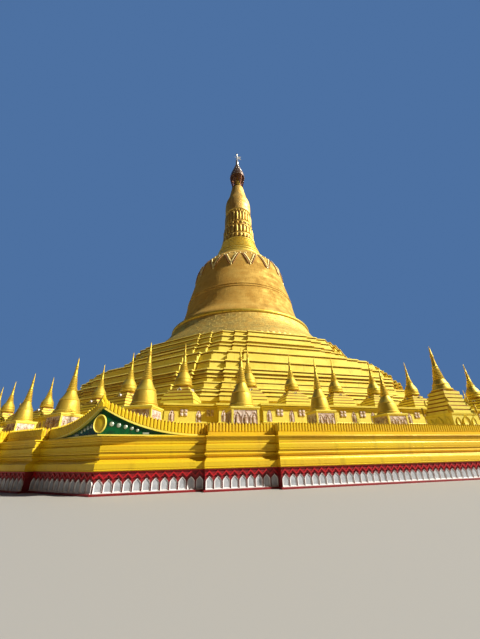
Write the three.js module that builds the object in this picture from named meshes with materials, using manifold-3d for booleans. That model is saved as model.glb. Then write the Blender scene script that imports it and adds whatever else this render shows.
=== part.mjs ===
// Scale model, 1:10, of a gilded octagonal stupa with two rows of small stupas on its ledges.
// Millimetres, +Z up. The origin is on the ground at the centre of the plan.
// The south side faces -Y. Every side of the octagon is the south side turned about Z.

import * as THREE from 'three';
import { mergeVertices } from 'three/addons/utils/BufferGeometryUtils.js';
import Module from 'manifold-3d';

const wasm = await Module();
wasm.setup();

// One metre of the real building, in model millimetres.
const M = 100;

const SIDES = 8;
const HALF_SIDE = Math.PI / SIDES;
const TAN = Math.tan(HALF_SIDE);
const SIDE_NAMES = [
  'south', 'south_east', 'east', 'north_east', 'north', 'north_west', 'west', 'south_west',
];

// Running gap between neighbours that are cut to each other.
const GAP = 0.3;

// Strips of one side, from a corner inward: corner strip, middle strip, then the centre face.
const PLINTH_STRIPS = { corner: 5.64 * M, middle: 4.25 * M, step1: 0.45 * M, step2: 0.51 * M };
const LEDGE_STRIPS = { corner: 4.6 * M, middle: 3.9 * M, step1: 0.6 * M, step2: 0.5 * M };
const TERRACE_STRIPS = { corner: 2.35 * M, middle: 2.5 * M, step1: 0.6 * M, step2: 0.5 * M };

// Heights of the ledges, of the parapet on the lower one and of its corner crests.
const PLINTH_TOP = 3.0 * M;
const PARAPET_TOP = 3.6 * M;
const CREST_TOP = 4.93 * M;
const PANEL_TOP = 4.28 * M;
const SECOND_WALL_TOP = 5.95 * M;

// Parapet, over the corner strip. Its wings lean out towards the corner by the flare.
const PARAPET_FACE = 59.58 * M;
const PARAPET_THICK = 0.36 * M;
const PARAPET_FLARE = 0.88 * M;

// Small stupas of the lower ledge: along a side, [place, width factor, height factor] each way
// from its middle, and one at its right-hand corner.
const LOWER_ROW_FACE = 57 * M;
const LOWER_PLACES = [[3.25, 0.92, 0.78], [9.65, 0.8, 0.87], [16.1, 0.98, 0.93]];
const LOWER_CORNER = [60.2, 1, 1];
const LOWER_BENCH = { deep: 2.3 * M, left: -17.6 * M, right: 22.9 * M, top: 3.4 * M };
const LOWER_PLINTH = { half: 1.15 * M, rise: 1.6 * M };
const LARGE_PLACE = 3.25 * M;

// Small stupas of the upper ledge, given in the same way.
const UPPER_ROW_FACE = 48.8 * M;
const UPPER_PLACES = [[2.6, 1, 1], [8.05, 1, 1.02], [13, 1.12, 1.13]];
const UPPER_CORNER = [51.5, 1.16, 1.16];
const UPPER_BENCH = { deep: 3.6 * M, left: -14.9 * M, right: 20.6 * M, top: 6.2 * M };

// Small stupas: half width of the square part and radius of the round part, with the rise of
// each above its bench, real metres.
const LOWER_BELL = [[1.02, 1.55], [0.84, 2.3], [0.44, 3.35], [0.2, 4.5], [0, 6.7]];
const UPPER_BASE = [[1.45, -0.1], [1.45, 0.45], [1.3, 0.95], [0.9, 1.45], [0.66, 1.85]];
const UPPER_BELL = [[0.8, 1.8], [0.52, 2.95], [0.26, 3.75], [0.12, 4.4], [0, 6.1]];
const LARGE_BASE = [
  [1.45, 0], [1.45, 1.35], [1.25, 1.9], [1.1, 2.3], [1.0, 2.9], [0.85, 3.45],
];
const LARGE_BELL = [[0.9, 3.4], [0.62, 4.1], [0.4, 4.9], [0.26, 5.7], [0.14, 6.7], [0, 7.9]];

// Corner apothem of the main profile at each height: [height, apothem], real metres.
const NICHE_PROFILE = [[0.1, 60.18], [1.1, 60.18]];
const LOWER_WALL_PROFILE = [[1.1, 60.24], [1.55, 60.24], [1.68, 59.83], [2.0, 59.9]];
const UPPER_WALL_PROFILE = [[2.0, 60.06], [2.35, 60.04], [2.5, 59.8], [2.8, 59.86], [3.0, 60.1]];
const SECOND_WALL_PROFILE = [[3.0, 51.9], [5.3, 51.9], [5.95, 52.2]];
const TERRACE_1_PROFILE = [[5.95, 41.9], [7.2, 41.8], [8.1, 40.7], [9.3, 41.0], [10.2, 39.45]];
const TERRACE_2_PROFILE = [[10.2, 39.45], [11.1, 39.4], [12.1, 37.9], [13.3, 37.8]];
const TERRACE_3_PROFILE = [[13.3, 37.8], [14.3, 36.7], [15.3, 36.5], [17.2, 34.4]];
const TERRACE_4_PROFILE = [[17.2, 31.7], [18.5, 31.2], [20.3, 29.6], [21.6, 28.1]];
const TERRACE_5_PROFILE = [[21.6, 28.0], [22.6, 27.9], [24.1, 26.85]];

// Round profile above the terraces: [radius, height], real metres.
const DRUM_PROFILE = [
  [25.8, 24.1], [25.8, 24.9], [24.9, 25.6], [23.9, 27], [22.4, 28.6], [21.1, 30.4], [19.9, 32.6],
];
const RIM_PROFILE = [[19.7, 32.6], [20, 32.9], [20, 33.3], [19.3, 33.9]];
const BELL_PROFILE = [
  [18.9, 33.9], [17.4, 36.5], [16.5, 39], [15.9, 42], [15.4, 45], [14.6, 48], [13.95, 51],
  [13.5, 53.6], [12.8, 55], [11.5, 57], [10.1, 58.4],
];
const NECK_PROFILE = [
  [9.9, 58.4], [8.6, 59.8], [7.6, 61.2], [7, 62.8], [6.5, 64.4], [5.9, 66], [5.6, 67.5],
];
const LOWER_LOTUS_PROFILE = [[5.5, 67.5], [5.45, 69.4], [5.1, 70.2], [4.85, 74], [5, 75.5]];
const UPPER_LOTUS_PROFILE = [[4.85, 75.5], [4.65, 76.4], [4.5, 80.4], [4.7, 81.7]];
const BUD_PROFILE = [
  [4.5, 81.7], [4.6, 84.4], [4.5, 86.2], [4.1, 88], [3.4, 89.8], [2.85, 91.8], [2.4, 93.8],
  [2.1, 95.4],
];
const FRAME_PROFILE = [[2.1, 95.4], [2.1, 97], [2.3, 98.6], [2.6, 100.2], [2.7, 101.4]];
const CAP_PROFILE = [
  [2.9, 101.4], [2.8, 102.4], [2.5, 104], [1.8, 106], [1.1, 107.8], [0.7, 109], [0.45, 109.6],
];

// Finial rod, with a spindle at its foot and a bud at its tip, and the vane that turns on it.
const ROD_RADIUS = 0.14 * M;
const ROD_CLEARANCE = 0.4;
const COLLAR_RADIUS = 0.26 * M;
const COLLAR_FLOOR = 112.9 * M;
const COLLAR_TOP = 115.1 * M;
const BUD_START = 115.3 * M;
const TIP = 116.6 * M;
const PENNANT = { length: 1.9 * M, height: 1.6 * M, flare: 0.15 * M, notch: 0.6 * M };
const POINTER = { length: 1.3 * M, height: 0.5 * M };
const VANE_THICK = 5;

const GOLD = { color: 0xd9a520, roughness: 0.38, metalness: 0.85 };
const WALL_GOLD = { color: 0xf0c030, roughness: 0.45, metalness: 0.55 };
const TERRACE_GOLD = { color: 0xf2d84a, roughness: 0.42, metalness: 0.5 };
const DARK_RED = { color: 0x7a1218, roughness: 0.6, metalness: 0 };
const WHITE_COURSE = { color: 0xc9c4bd, roughness: 0.7, metalness: 0 };
const GREEN = { color: 0x0e5a2c, roughness: 0.45, metalness: 0 };
const RED_BRONZE = { color: 0x7a3a1e, roughness: 0.5, metalness: 0.6 };
const SILVER = { color: 0xd8d8d2, roughness: 0.3, metalness: 0.9 };

const part = new THREE.Group();
part.name = 'stupa_model';

function addMesh(name, geometry, finish, turn = 0) {
  const mesh = new THREE.Mesh(geometry, new THREE.MeshStandardMaterial(finish));
  mesh.name = name;
  mesh.rotation.z = turn;
  part.add(mesh);
  return mesh;
}

// Closed mesh to solid, for joins and cuts.
function toSolid(geometry) {
  const bare = geometry.clone();
  for (const key of Object.keys(bare.attributes)) {
    if (key !== 'position') bare.deleteAttribute(key);
  }
  const merged = mergeVertices(bare, 1e-3);
  return new wasm.Manifold(new wasm.Mesh({
    numProp: 3,
    vertProperties: new Float32Array(merged.attributes.position.array),
    triVerts: new Uint32Array(merged.index.array),
  }));
}

function toGeometry(solid) {
  const mesh = solid.getMesh();
  const geometry = new THREE.BufferGeometry();
  geometry.setAttribute('position', new THREE.BufferAttribute(mesh.vertProperties, 3));
  geometry.setIndex(new THREE.BufferAttribute(mesh.triVerts, 1));
  geometry.computeVertexNormals();
  return geometry;
}

function join(geometries) {
  return toGeometry(geometries.map(toSolid).reduce((whole, piece) => whole.add(piece)));
}

// Plan of one redented octagon: nine corners a side, counter-clockwise seen from above.
// The face steps out twice between a corner and the middle of the side.
function redentedPlan(apothem, strips) {
  const corner = apothem * TAN;
  const outer = corner - strips.corner;
  const inner = outer - strips.middle;
  const middleFace = apothem + strips.step1;
  const centreFace = middleFace + strips.step2;
  const half = [
    [-corner, apothem], [-outer, apothem], [-outer, middleFace], [-inner, middleFace],
    [-inner, centreFace], [inner, centreFace], [inner, middleFace], [outer, middleFace],
    [outer, apothem],
  ];
  const ring = [];
  for (let side = 0; side < SIDES; side += 1) {
    const turn = side * 2 * HALF_SIDE;
    for (const [along, out] of half) {
      const place = new THREE.Vector2(along, -out);
      place.rotateAround(new THREE.Vector2(0, 0), turn);
      ring.push(place);
    }
  }
  return ring;
}

// Solid mass whose outline is the redented plan, drawn in or out from level to level.
function redentedMass(profile, strips) {
  const positions = [];
  const index = [];
  const rings = profile.map(([, apothem]) => redentedPlan(apothem * M, strips));
  const count = rings[0].length;
  rings.forEach((ring, level) => {
    for (const place of ring) positions.push(place.x, place.y, profile[level][0] * M);
  });
  for (let level = 0; level + 1 < rings.length; level += 1) {
    for (let i = 0; i < count; i += 1) {
      const next = (i + 1) % count;
      const a = level * count + i;
      const b = level * count + next;
      const c = a + count;
      const d = b + count;
      index.push(a, b, d, a, d, c);
    }
  }
  const floorFaces = THREE.ShapeUtils.triangulateShape(rings[0], []);
  for (const [a, b, c] of floorFaces) index.push(a, c, b);
  const lid = (rings.length - 1) * count;
  const lidFaces = THREE.ShapeUtils.triangulateShape(rings[rings.length - 1], []);
  for (const [a, b, c] of lidFaces) index.push(lid + a, lid + b, lid + c);
  const geometry = new THREE.BufferGeometry();
  geometry.setAttribute('position', new THREE.Float32BufferAttribute(positions, 3));
  geometry.setIndex(index);
  geometry.computeVertexNormals();
  return geometry;
}

// Body of revolution about Z from [radius, height] points given from the bottom up.
function turned(points, segments) {
  const profile = [new THREE.Vector2(0, points[0][1])];
  for (const [radius, height] of points) profile.push(new THREE.Vector2(radius, height));
  if (points[points.length - 1][0] > 0) profile.push(new THREE.Vector2(0, points[points.length - 1][1]));
  const lathe = new THREE.LatheGeometry(profile, segments);
  lathe.rotateX(Math.PI / 2);
  return toGeometry(toSolid(lathe));
}

function scaled(profile) {
  return profile.map(([radius, height]) => [radius * M, height * M]);
}

// Box of the south side: along the side, outward from the centre, and up.
function sideBox(left, right, inner, outer, floor, top) {
  const box = new THREE.BoxGeometry(right - left, outer - inner, top - floor);
  box.translate((left + right) / 2, -(inner + outer) / 2, (floor + top) / 2);
  return box;
}

// Prism over one eighth of the plan, drawn in by half the gap at each mitre.
function sidePrism(half, floor, top) {
  const reach = 80 * M;
  const start = half / Math.sin(HALF_SIDE);
  const wedge = new THREE.Shape([
    new THREE.Vector2(0, -start),
    new THREE.Vector2(-reach * TAN, -start - reach),
    new THREE.Vector2(reach * TAN, -start - reach),
  ]);
  const prism = new THREE.ExtrudeGeometry(wedge, { depth: top - floor, bevelEnabled: false });
  prism.translate(0, 0, floor);
  return prism;
}

// Height of the swept parapet over the corner strip, from its foot to the corner.
const SWEEP_STEPS = 4;
const WING_REACH = (PARAPET_FACE + PARAPET_FLARE + PARAPET_THICK) * TAN;
function sweep(low, high) {
  const points = [];
  const start = PARAPET_FACE * TAN - PLINTH_STRIPS.corner;
  for (let i = 0; i <= SWEEP_STEPS; i += 1) {
    const share = i / SWEEP_STEPS;
    points.push([start + share * (WING_REACH - start), low + (high - low) * share ** 2.5]);
  }
  return points;
}

// Plate standing on the corner strip, between two curves given as [along, height], leaning out
// towards the corner.
function corneredPlate(lower, upper, inner, outer) {
  const outline = [...lower, ...[...upper].reverse()].map(([x, z]) => new THREE.Vector2(x, z));
  const plate = new THREE.ExtrudeGeometry(new THREE.Shape(outline), {
    depth: outer - inner, bevelEnabled: false,
  });
  plate.rotateX(Math.PI / 2);
  plate.translate(0, -inner, 0);
  const start = PARAPET_FACE * TAN - PLINTH_STRIPS.corner;
  const places = plate.attributes.position;
  for (let i = 0; i < places.count; i += 1) {
    const share = Math.max(0, (places.getX(i) - start) / (WING_REACH - start));
    places.setY(i, places.getY(i) - PARAPET_FLARE * share);
  }
  return plate;
}

function mirrored(geometry) {
  const copy = geometry.clone();
  copy.scale(-1, 1, 1);
  const flipped = copy.index ? copy.toNonIndexed() : copy;
  const array = flipped.attributes.position.array;
  for (let i = 0; i < array.length; i += 9) {
    for (let k = 0; k < 3; k += 1) {
      const held = array[i + 3 + k];
      array[i + 3 + k] = array[i + 6 + k];
      array[i + 6 + k] = held;
    }
  }
  return flipped;
}

const WING_TOP = sweep(PARAPET_TOP, CREST_TOP);
const WING_FOOT = sweep(PLINTH_TOP, PANEL_TOP);

// Parapet of one side: centre band, middle bands, their returns, and a swept wing at each end.
function parapetSide() {
  const { corner, middle, step1, step2 } = PLINTH_STRIPS;
  const inner = PARAPET_FACE - PARAPET_THICK;
  const outerLimit = PARAPET_FACE * TAN - corner;
  const innerLimit = outerLimit - middle;
  const centre = sideBox(
    -innerLimit, innerLimit, inner + step1 + step2, PARAPET_FACE + step1 + step2,
    PLINTH_TOP, PARAPET_TOP,
  );
  const middleBand = sideBox(
    innerLimit - PARAPET_THICK, outerLimit, inner + step1, PARAPET_FACE + step1,
    PLINTH_TOP, PARAPET_TOP,
  );
  const middleReturn = sideBox(
    innerLimit - PARAPET_THICK, innerLimit, inner + step1, PARAPET_FACE + step1 + step2,
    PLINTH_TOP, PARAPET_TOP,
  );
  const cornerReturn = sideBox(
    outerLimit - PARAPET_THICK, outerLimit, inner, PARAPET_FACE + step1, PLINTH_TOP, PARAPET_TOP,
  );
  const link = sideBox(
    outerLimit - PARAPET_THICK, outerLimit + 2, inner, PARAPET_FACE, PLINTH_TOP, PARAPET_TOP,
  );
  const wing = corneredPlate(WING_FOOT, WING_TOP, inner, PARAPET_FACE);
  const right = [middleBand, middleReturn, cornerReturn, link, wing];
  const pieces = [centre, ...right, ...right.map(mirrored)].map(toSolid);
  const whole = pieces.reduce((all, piece) => all.add(piece));
  return toGeometry(whole.intersect(toSolid(sidePrism(GAP / 2, 2 * M, 6 * M))));
}

// Green panel under the swept parapet at the corner to the right of the south side.
const MEDALLION = { width: 0.66 * M, height: 0.86 * M, centre: 3.44 * M };
function cornerPanel() {
  const inner = PARAPET_FACE - PARAPET_THICK + 4;
  const outer = PARAPET_FACE - 4;
  const top = WING_FOOT.map(([x, z]) => [x, z - GAP]).slice(1);
  const foot = top.map(([x]) => [x, PLINTH_TOP]);
  const half = corneredPlate(foot, top, inner, outer);
  const wedge = toSolid(sidePrism(-GAP, 2 * M, 6 * M));
  const right = toSolid(half).intersect(wedge);
  const leftGeometry = toGeometry(toSolid(mirrored(half)).intersect(wedge));
  leftGeometry.rotateZ(2 * HALF_SIDE);
  const medallion = new THREE.SphereGeometry(1, 6, 4);
  medallion.rotateX(Math.PI / 2);
  medallion.scale(MEDALLION.width / 2, MEDALLION.width / 2, MEDALLION.height / 2);
  const radius = (outer + PARAPET_FLARE) / Math.cos(HALF_SIDE);
  medallion.translate(radius * Math.sin(HALF_SIDE), -radius * Math.cos(HALF_SIDE), MEDALLION.centre);
  return toGeometry(right.add(toSolid(leftGeometry)).add(toSolid(medallion)));
}

// Square body about Z from [half width, height] points given from the bottom up.
function squared(points) {
  const corners = points.map(([half, height]) => [half * Math.SQRT2, height]);
  return toSolid(turned(corners, 4)).rotate([0, 0, 45]);
}

// Round small stupa of the lower ledge on its square relief plinth, from its bench up.
function lowerStupa() {
  const { half, rise } = LOWER_PLINTH;
  const plinth = sideBox(-half, half, -half, half, -0.1 * M, rise);
  return toSolid(plinth).add(toSolid(turned(scaled(LOWER_BELL), 6)));
}

// Small stupa with a square base, drawn in upward, and a round bell, from its bench up.
function basedStupa(base, bell, segments) {
  return squared(scaled(base)).add(toSolid(turned(scaled(bell), segments)));
}

// Row along the south side and one more at the corner to its right, joined by a low bench.
function stupaRow(stupa, places, face, corner, benchFloor, bench) {
  const base = sideBox(
    bench.left, bench.right, face - bench.deep / 2, face + bench.deep / 2, benchFloor, bench.top,
  );
  const inRow = places.map(([along, width, height]) => (
    stupa.scale([width, width, height]).translate([along * M, -face, bench.top])
  ));
  const [radius, width, height] = corner;
  const atCorner = stupa.scale([width, width, height]).rotate([0, 0, 22.5]).translate([
    radius * M * Math.sin(HALF_SIDE), -radius * M * Math.cos(HALF_SIDE), bench.top,
  ]);
  return toGeometry([...inRow, atCorner].reduce((all, piece) => all.add(piece), toSolid(base)));
}

// Places on both sides of the middle.
function bothWays(places) {
  return places.flatMap(([along, ...factors]) => [[-along, ...factors], [along, ...factors]]);
}

function lowerRow(places) {
  return stupaRow(
    lowerStupa(), places, LOWER_ROW_FACE, LOWER_CORNER, PLINTH_TOP, LOWER_BENCH,
  );
}

function upperRow() {
  return stupaRow(
    basedStupa(UPPER_BASE, UPPER_BELL, 6), bothWays(UPPER_PLACES), UPPER_ROW_FACE, UPPER_CORNER,
    SECOND_WALL_TOP, UPPER_BENCH,
  );
}

// Rod with a spindle, a shoulder under the vane's collar and a bud at the tip.
function finialRod() {
  const shoulder = COLLAR_FLOOR - GAP;
  return turned([
    [0.42 * M, 109.6 * M], [0.56 * M, 110.4 * M], [0.4 * M, 112.2 * M], [COLLAR_RADIUS, shoulder],
    [ROD_RADIUS, shoulder], [ROD_RADIUS, BUD_START], [0.42 * M, BUD_START + 0.35 * M],
    [0.34 * M, BUD_START + 0.65 * M], [0, TIP],
  ], 16);
}

// Collar, swallow-tailed pennant along +X and short pointer along -X.
function vane() {
  const bore = ROD_RADIUS + ROD_CLEARANCE;
  const ring = [
    [bore, COLLAR_FLOOR], [COLLAR_RADIUS, COLLAR_FLOOR], [COLLAR_RADIUS, COLLAR_TOP],
    [bore, COLLAR_TOP], [bore, COLLAR_FLOOR],
  ].map(([radius, height]) => new THREE.Vector2(radius, height));
  const collar = new THREE.LatheGeometry(ring, 16);
  collar.rotateX(Math.PI / 2);
  const start = (bore + COLLAR_RADIUS) / 2;
  const middle = (COLLAR_FLOOR + COLLAR_TOP) / 2;
  const low = middle - PENNANT.height / 2;
  const high = middle + PENNANT.height / 2;
  const pennant = vanePlate([
    [start, low], [PENNANT.length, low - PENNANT.flare], [PENNANT.length - PENNANT.notch, middle],
    [PENNANT.length, high + PENNANT.flare], [start, high],
  ]);
  const pointer = vanePlate([
    [-start, middle + POINTER.height / 2], [-POINTER.length, middle],
    [-start, middle - POINTER.height / 2],
  ]);
  return join([collar, pennant, pointer]);
}

// Upright plate in the XZ plane from [x, z] corners.
function vanePlate(corners) {
  const outline = new THREE.Shape(corners.map(([x, z]) => new THREE.Vector2(x, z)));
  const plate = new THREE.ExtrudeGeometry(outline, { depth: VANE_THICK, bevelEnabled: false });
  plate.rotateX(Math.PI / 2);
  plate.translate(0, VANE_THICK / 2, 0);
  return plate;
}

// Plinth
addMesh('base_kerb', redentedMass([[0, 60.3], [0.1, 60.3]], PLINTH_STRIPS), DARK_RED);
addMesh('niche_course', redentedMass(NICHE_PROFILE, PLINTH_STRIPS), WHITE_COURSE);
addMesh('lower_plinth_wall', redentedMass(LOWER_WALL_PROFILE, PLINTH_STRIPS), WALL_GOLD);
addMesh('upper_plinth_wall', redentedMass(UPPER_WALL_PROFILE, PLINTH_STRIPS), WALL_GOLD);

// Ledges and what stands on them, side by side round the octagon
const parapet = parapetSide();
const panel = cornerPanel();
const allPlaces = bothWays(LOWER_PLACES);
const lowerSet = lowerRow(allPlaces);
const lowerSetWithPlace = lowerRow(allPlaces.filter(([along]) => along * M !== LARGE_PLACE));
const upperSet = upperRow();
SIDE_NAMES.forEach((side, number) => {
  const turn = number * 2 * HALF_SIDE;
  addMesh(`parapet_${side}`, parapet, WALL_GOLD, turn);
  addMesh(`corner_panel_${side}`, panel, GREEN, turn);
  addMesh(`lower_stupas_${side}`, number === 0 ? lowerSetWithPlace : lowerSet, GOLD, turn);
  addMesh(`upper_stupas_${side}`, upperSet, GOLD, turn);
});

// Large stupa, in the lower row of the south side
const large = basedStupa(LARGE_BASE, LARGE_BELL, 12);
const largePlace = [LARGE_PLACE, -LOWER_ROW_FACE, LOWER_BENCH.top];
addMesh('large_stupa', toGeometry(large.translate(largePlace)), GOLD);
addMesh('second_wall', redentedMass(SECOND_WALL_PROFILE, LEDGE_STRIPS), WALL_GOLD);

// Terraces
[TERRACE_1_PROFILE, TERRACE_2_PROFILE, TERRACE_3_PROFILE, TERRACE_4_PROFILE, TERRACE_5_PROFILE]
  .forEach((profile, number) => {
    addMesh(`terrace_${number + 1}`, redentedMass(profile, TERRACE_STRIPS), TERRACE_GOLD);
  });

// Round body, from the drum up to the finial
addMesh('drum', turned(scaled(DRUM_PROFILE), 32), GOLD);
addMesh('bell_rim', turned(scaled(RIM_PROFILE), 32), GOLD);
addMesh('bell', turned(scaled(BELL_PROFILE), 32), GOLD);
addMesh('ringed_neck', turned(scaled(NECK_PROFILE), 24), GOLD);
addMesh('lower_lotus_band', turned(scaled(LOWER_LOTUS_PROFILE), 24), GOLD);
addMesh('upper_lotus_band', turned(scaled(UPPER_LOTUS_PROFILE), 24), GOLD);
addMesh('banana_bud', turned(scaled(BUD_PROFILE), 24), GOLD);
addMesh('umbrella_frame', turned(scaled(FRAME_PROFILE), 24), RED_BRONZE);
addMesh('umbrella_cap', turned(scaled(CAP_PROFILE), 24), SILVER);
addMesh('finial_rod', finialRod(), SILVER);
addMesh('vane', vane(), GOLD);

export default part;
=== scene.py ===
"""Gilded octagonal stupa, scale model 1:10: fine shapes, finishes, light and camera.

Sizes are real metres times M. Every face of the building is drawn as the south side, which
faces -Y: x runs along the side, -y outward and z up. The other sides are turned about Z.
"""

import logging
import math
from collections.abc import Callable, Iterable, Sequence
from dataclasses import dataclass
from enum import Enum

import bmesh
import bpy
from mathutils import Matrix, Vector


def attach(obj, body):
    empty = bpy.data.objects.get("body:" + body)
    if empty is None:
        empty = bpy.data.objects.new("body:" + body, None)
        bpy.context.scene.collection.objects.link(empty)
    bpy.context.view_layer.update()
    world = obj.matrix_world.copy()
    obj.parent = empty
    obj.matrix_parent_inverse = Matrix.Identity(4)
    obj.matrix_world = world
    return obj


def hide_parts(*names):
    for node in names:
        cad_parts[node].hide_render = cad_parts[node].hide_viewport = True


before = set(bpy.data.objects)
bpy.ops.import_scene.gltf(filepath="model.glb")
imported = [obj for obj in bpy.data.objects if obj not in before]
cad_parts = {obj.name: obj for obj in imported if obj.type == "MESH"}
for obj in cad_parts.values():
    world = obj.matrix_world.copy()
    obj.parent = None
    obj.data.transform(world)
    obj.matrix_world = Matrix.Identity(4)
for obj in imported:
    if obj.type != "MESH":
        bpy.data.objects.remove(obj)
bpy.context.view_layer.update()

LOG = logging.getLogger("stupa")

# One metre of the real building, in metres of the model.
M = 0.1

SIDES = 8
HALF_SIDE = math.pi / SIDES
TAN = math.tan(HALF_SIDE)
COS = math.cos(HALF_SIDE)

# Faces of a half-round line, and the height within which a square one leaves the wall.
ROLL_STEPS = 6
SHARP = 0.012

# Exponent on the half width of a pointed arch. A higher one makes it slimmer.
ARCH_BEND = 1.15

# Widest and narrowest part of a ring on a cone, as shares of its foot's radius, and the height of
# the seam over it in real metres.
RING_OUT = 1.07
RING_IN = 0.84
RING_SEAM = 0.01

# Sizes of the noises in a finish and width of the seams between plates, in real metres.
GRAIN_SIZE = 0.12
RUN_SIZE = 0.5
PLATE_GRAIN_SIZE = 0.3
DENT_SIZE = 1.3
SEAM_WIDTH = 0.025

# How runs of dirt are drawn out downward.
RUN_STRETCH = (1, 1, 0.12)

Point = tuple[float, float]
Triple = tuple[float, float, float]
Colour = tuple[float, float, float, float]


class Body(Enum):
    """Bodies that the pieces ride on."""

    STUPA = "stupa"
    VANE = "vane"


class Slot(Enum):
    """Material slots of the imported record."""

    KERB = "red_kerb"
    PLASTER = "niche_plaster"
    WALL = "wall_gold"
    TERRACE = "terrace_gold"
    GILT = "gilded_metal"
    GREEN = "green_panel"
    BRONZE = "red_bronze"
    SILVER = "silver"


class Side(Enum):
    """Sides of the octagon, numbered anticlockwise from the south as seen from above."""

    SOUTH = 0
    SOUTH_EAST = 1
    EAST = 2
    NORTH_EAST = 3
    NORTH = 4
    NORTH_WEST = 5
    WEST = 6
    SOUTH_WEST = 7

    @property
    def label(self) -> str:
        """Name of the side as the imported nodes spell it."""
        return self.name.lower()

    @property
    def turn(self) -> Matrix:
        """Turn that brings the south side to this side."""
        return about_z(2 * HALF_SIDE * self.value)


class Mark(Enum):
    """Forms of a line that runs round a wall."""

    ROLL = "half round"
    FILLET = "square"


def about_z(angle: float) -> Matrix:
    """Turn about the upright axis, in radians."""
    return Matrix.Rotation(angle, 4, "Z")


def at(along: float, out: float, up: float) -> Matrix:
    """Place on the south side: along it, outward from the axis, and up, in real metres."""
    return Matrix.Translation(Vector((along, -out, up)) * M)


def at_corner(radius: float, up: float) -> Matrix:
    """Place on the arris at the right-hand end of the south side, in real metres."""
    return about_z(HALF_SIDE) @ at(0, radius, up)


IDENTITY = Matrix.Identity(4)
MIRROR = Matrix.Diagonal((-1, 1, 1, 1))
ACROSS_CORNER = about_z(2 * HALF_SIDE) @ MIRROR


def all_round(count: int, place: Matrix = IDENTITY, first: float = 0.0) -> list[Matrix]:
    """Places evenly spaced round the axis.

    Args:
        count: How many.
        place: The place that is turned.
        first: Turn of the first one, as a share of the space between two.

    Returns:
        The places, anticlockwise.
    """
    return [about_z(math.tau * (i + first) / count) @ place for i in range(count)]


def by_height(profile: Sequence[Point]) -> list[Point]:
    """Height and radius of points that are given by radius and height."""
    return [(up, radius) for radius, up in profile]


def curve_through(points: Sequence[Point], steps: int) -> list[Point]:
    """Smooth curve through points.

    Args:
        points: The points that the curve passes through, in order.
        steps: Stretches between one point and the next.

    Returns:
        The points of the curve, the given ones among them.
    """
    made = [points[0]]
    for i in range(len(points) - 1):
        before = points[max(i - 1, 0)]
        start, end = points[i], points[i + 1]
        after = points[min(i + 2, len(points) - 1)]
        for step in range(1, steps + 1):
            t = step / steps
            place = []
            for a, b, c, d in zip(before, start, end, after):
                slope_in, slope_out = (c - a) / 2, (d - b) / 2
                place.append(
                    (2 * t**3 - 3 * t**2 + 1) * b + (t**3 - 2 * t**2 + t) * slope_in
                    + (3 * t**2 - 2 * t**3) * c + (t**3 - t**2) * slope_out
                )
            made.append(tuple(place))
    return made


def value_at(points: Sequence[Point], place: float) -> float:
    """Second coordinate, drawn straight between points, where the first one is place."""
    if place <= points[0][0]:
        return points[0][1]
    for (x0, y0), (x1, y1) in zip(points, points[1:]):
        if place <= x1:
            return y0 + (y1 - y0) * (place - x0) / max(x1 - x0, 1e-9)
    return points[-1][1]


@dataclass(frozen=True)
class Line:
    """A roll or fillet that runs round a wall.

    Attributes:
        up: Height of its middle, in real metres.
        tall: Its height.
        reach: How far it stands out. A groove has a negative one.
        form: Its form.
    """

    up: float
    tall: float
    reach: float
    form: Mark = Mark.ROLL

    def shape(self) -> list[Point]:
        """Height and reach of the points that draw it."""
        half = self.tall / 2
        if self.form is Mark.ROLL:
            turns = [math.pi * i / ROLL_STEPS for i in range(ROLL_STEPS + 1)]
            return [(self.up - half * math.cos(t), self.reach * math.sin(t)) for t in turns]
        low, high = self.up - half, self.up + half
        return [(low - SHARP, 0), (low, self.reach), (high, self.reach), (high + SHARP, 0)]


def moulded(course: Sequence[Point], lines: Sequence[Line]) -> list[Triple]:
    """Levels of a wall with its lines.

    Args:
        course: Height and apothem of the plain wall, in real metres, from the bottom up.
        lines: What runs round it.

    Returns:
        Height, apothem of the plain wall and relief of each level.
    """
    low, high = course[0][0], course[-1][0]
    drawn = [line.shape() for line in lines]
    heights = {up for up, _ in course}
    heights.update(up for shape in drawn for up, _ in shape)
    levels = []
    for up in sorted(h for h in heights if low <= h <= high):
        reaches = [value_at(shape, up) for shape in drawn if shape[0][0] <= up <= shape[-1][0]]
        relief = max(reaches, key=abs, default=0.0)
        levels.append((up, value_at(course, up), relief))
    return levels


@dataclass(frozen=True)
class Strips:
    """Strips of one side of the redented plan, in real metres, from a corner inward.

    Attributes:
        corner: Width of the corner strip.
        middle: Width of the middle strip.
        step1: How far the middle strip stands out past the corner strip.
        step2: How far the centre face stands out past the middle strip.
    """

    corner: float
    middle: float
    step1: float
    step2: float

    def stretches(self, apothem: float) -> list[Triple]:
        """Left end, right end and face of each stretch of a side, from left to right."""
        end = apothem * TAN
        outer = end - self.corner
        inner = outer - self.middle
        near, far = apothem + self.step1, apothem + self.step1 + self.step2
        return [
            (-end, -outer, apothem), (-outer, -inner, near), (-inner, inner, far),
            (inner, outer, near), (outer, end, apothem),
        ]

    def ring(self, apothem: float, relief: float) -> list[Vector]:
        """Plan of the whole octagon, anticlockwise, with mitred relief at every corner."""
        face = apothem + relief
        end = face * TAN
        outer = apothem * TAN - self.corner + relief
        inner = outer - self.middle
        near, far = face + self.step1, face + self.step1 + self.step2
        half = [
            (-end, face), (-outer, face), (-outer, near), (-inner, near), (-inner, far),
            (inner, far), (inner, near), (outer, near), (outer, face),
        ]
        return [
            about_z(2 * HALF_SIDE * side) @ (Vector((along, -out, 0)) * M)
            for side in range(SIDES) for along, out in half
        ]


PLINTH = Strips(corner=5.64, middle=4.25, step1=0.45, step2=0.51)
LEDGE = Strips(corner=4.6, middle=3.9, step1=0.6, step2=0.5)
TERRACE = Strips(corner=2.35, middle=2.5, step1=0.6, step2=0.5)


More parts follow.
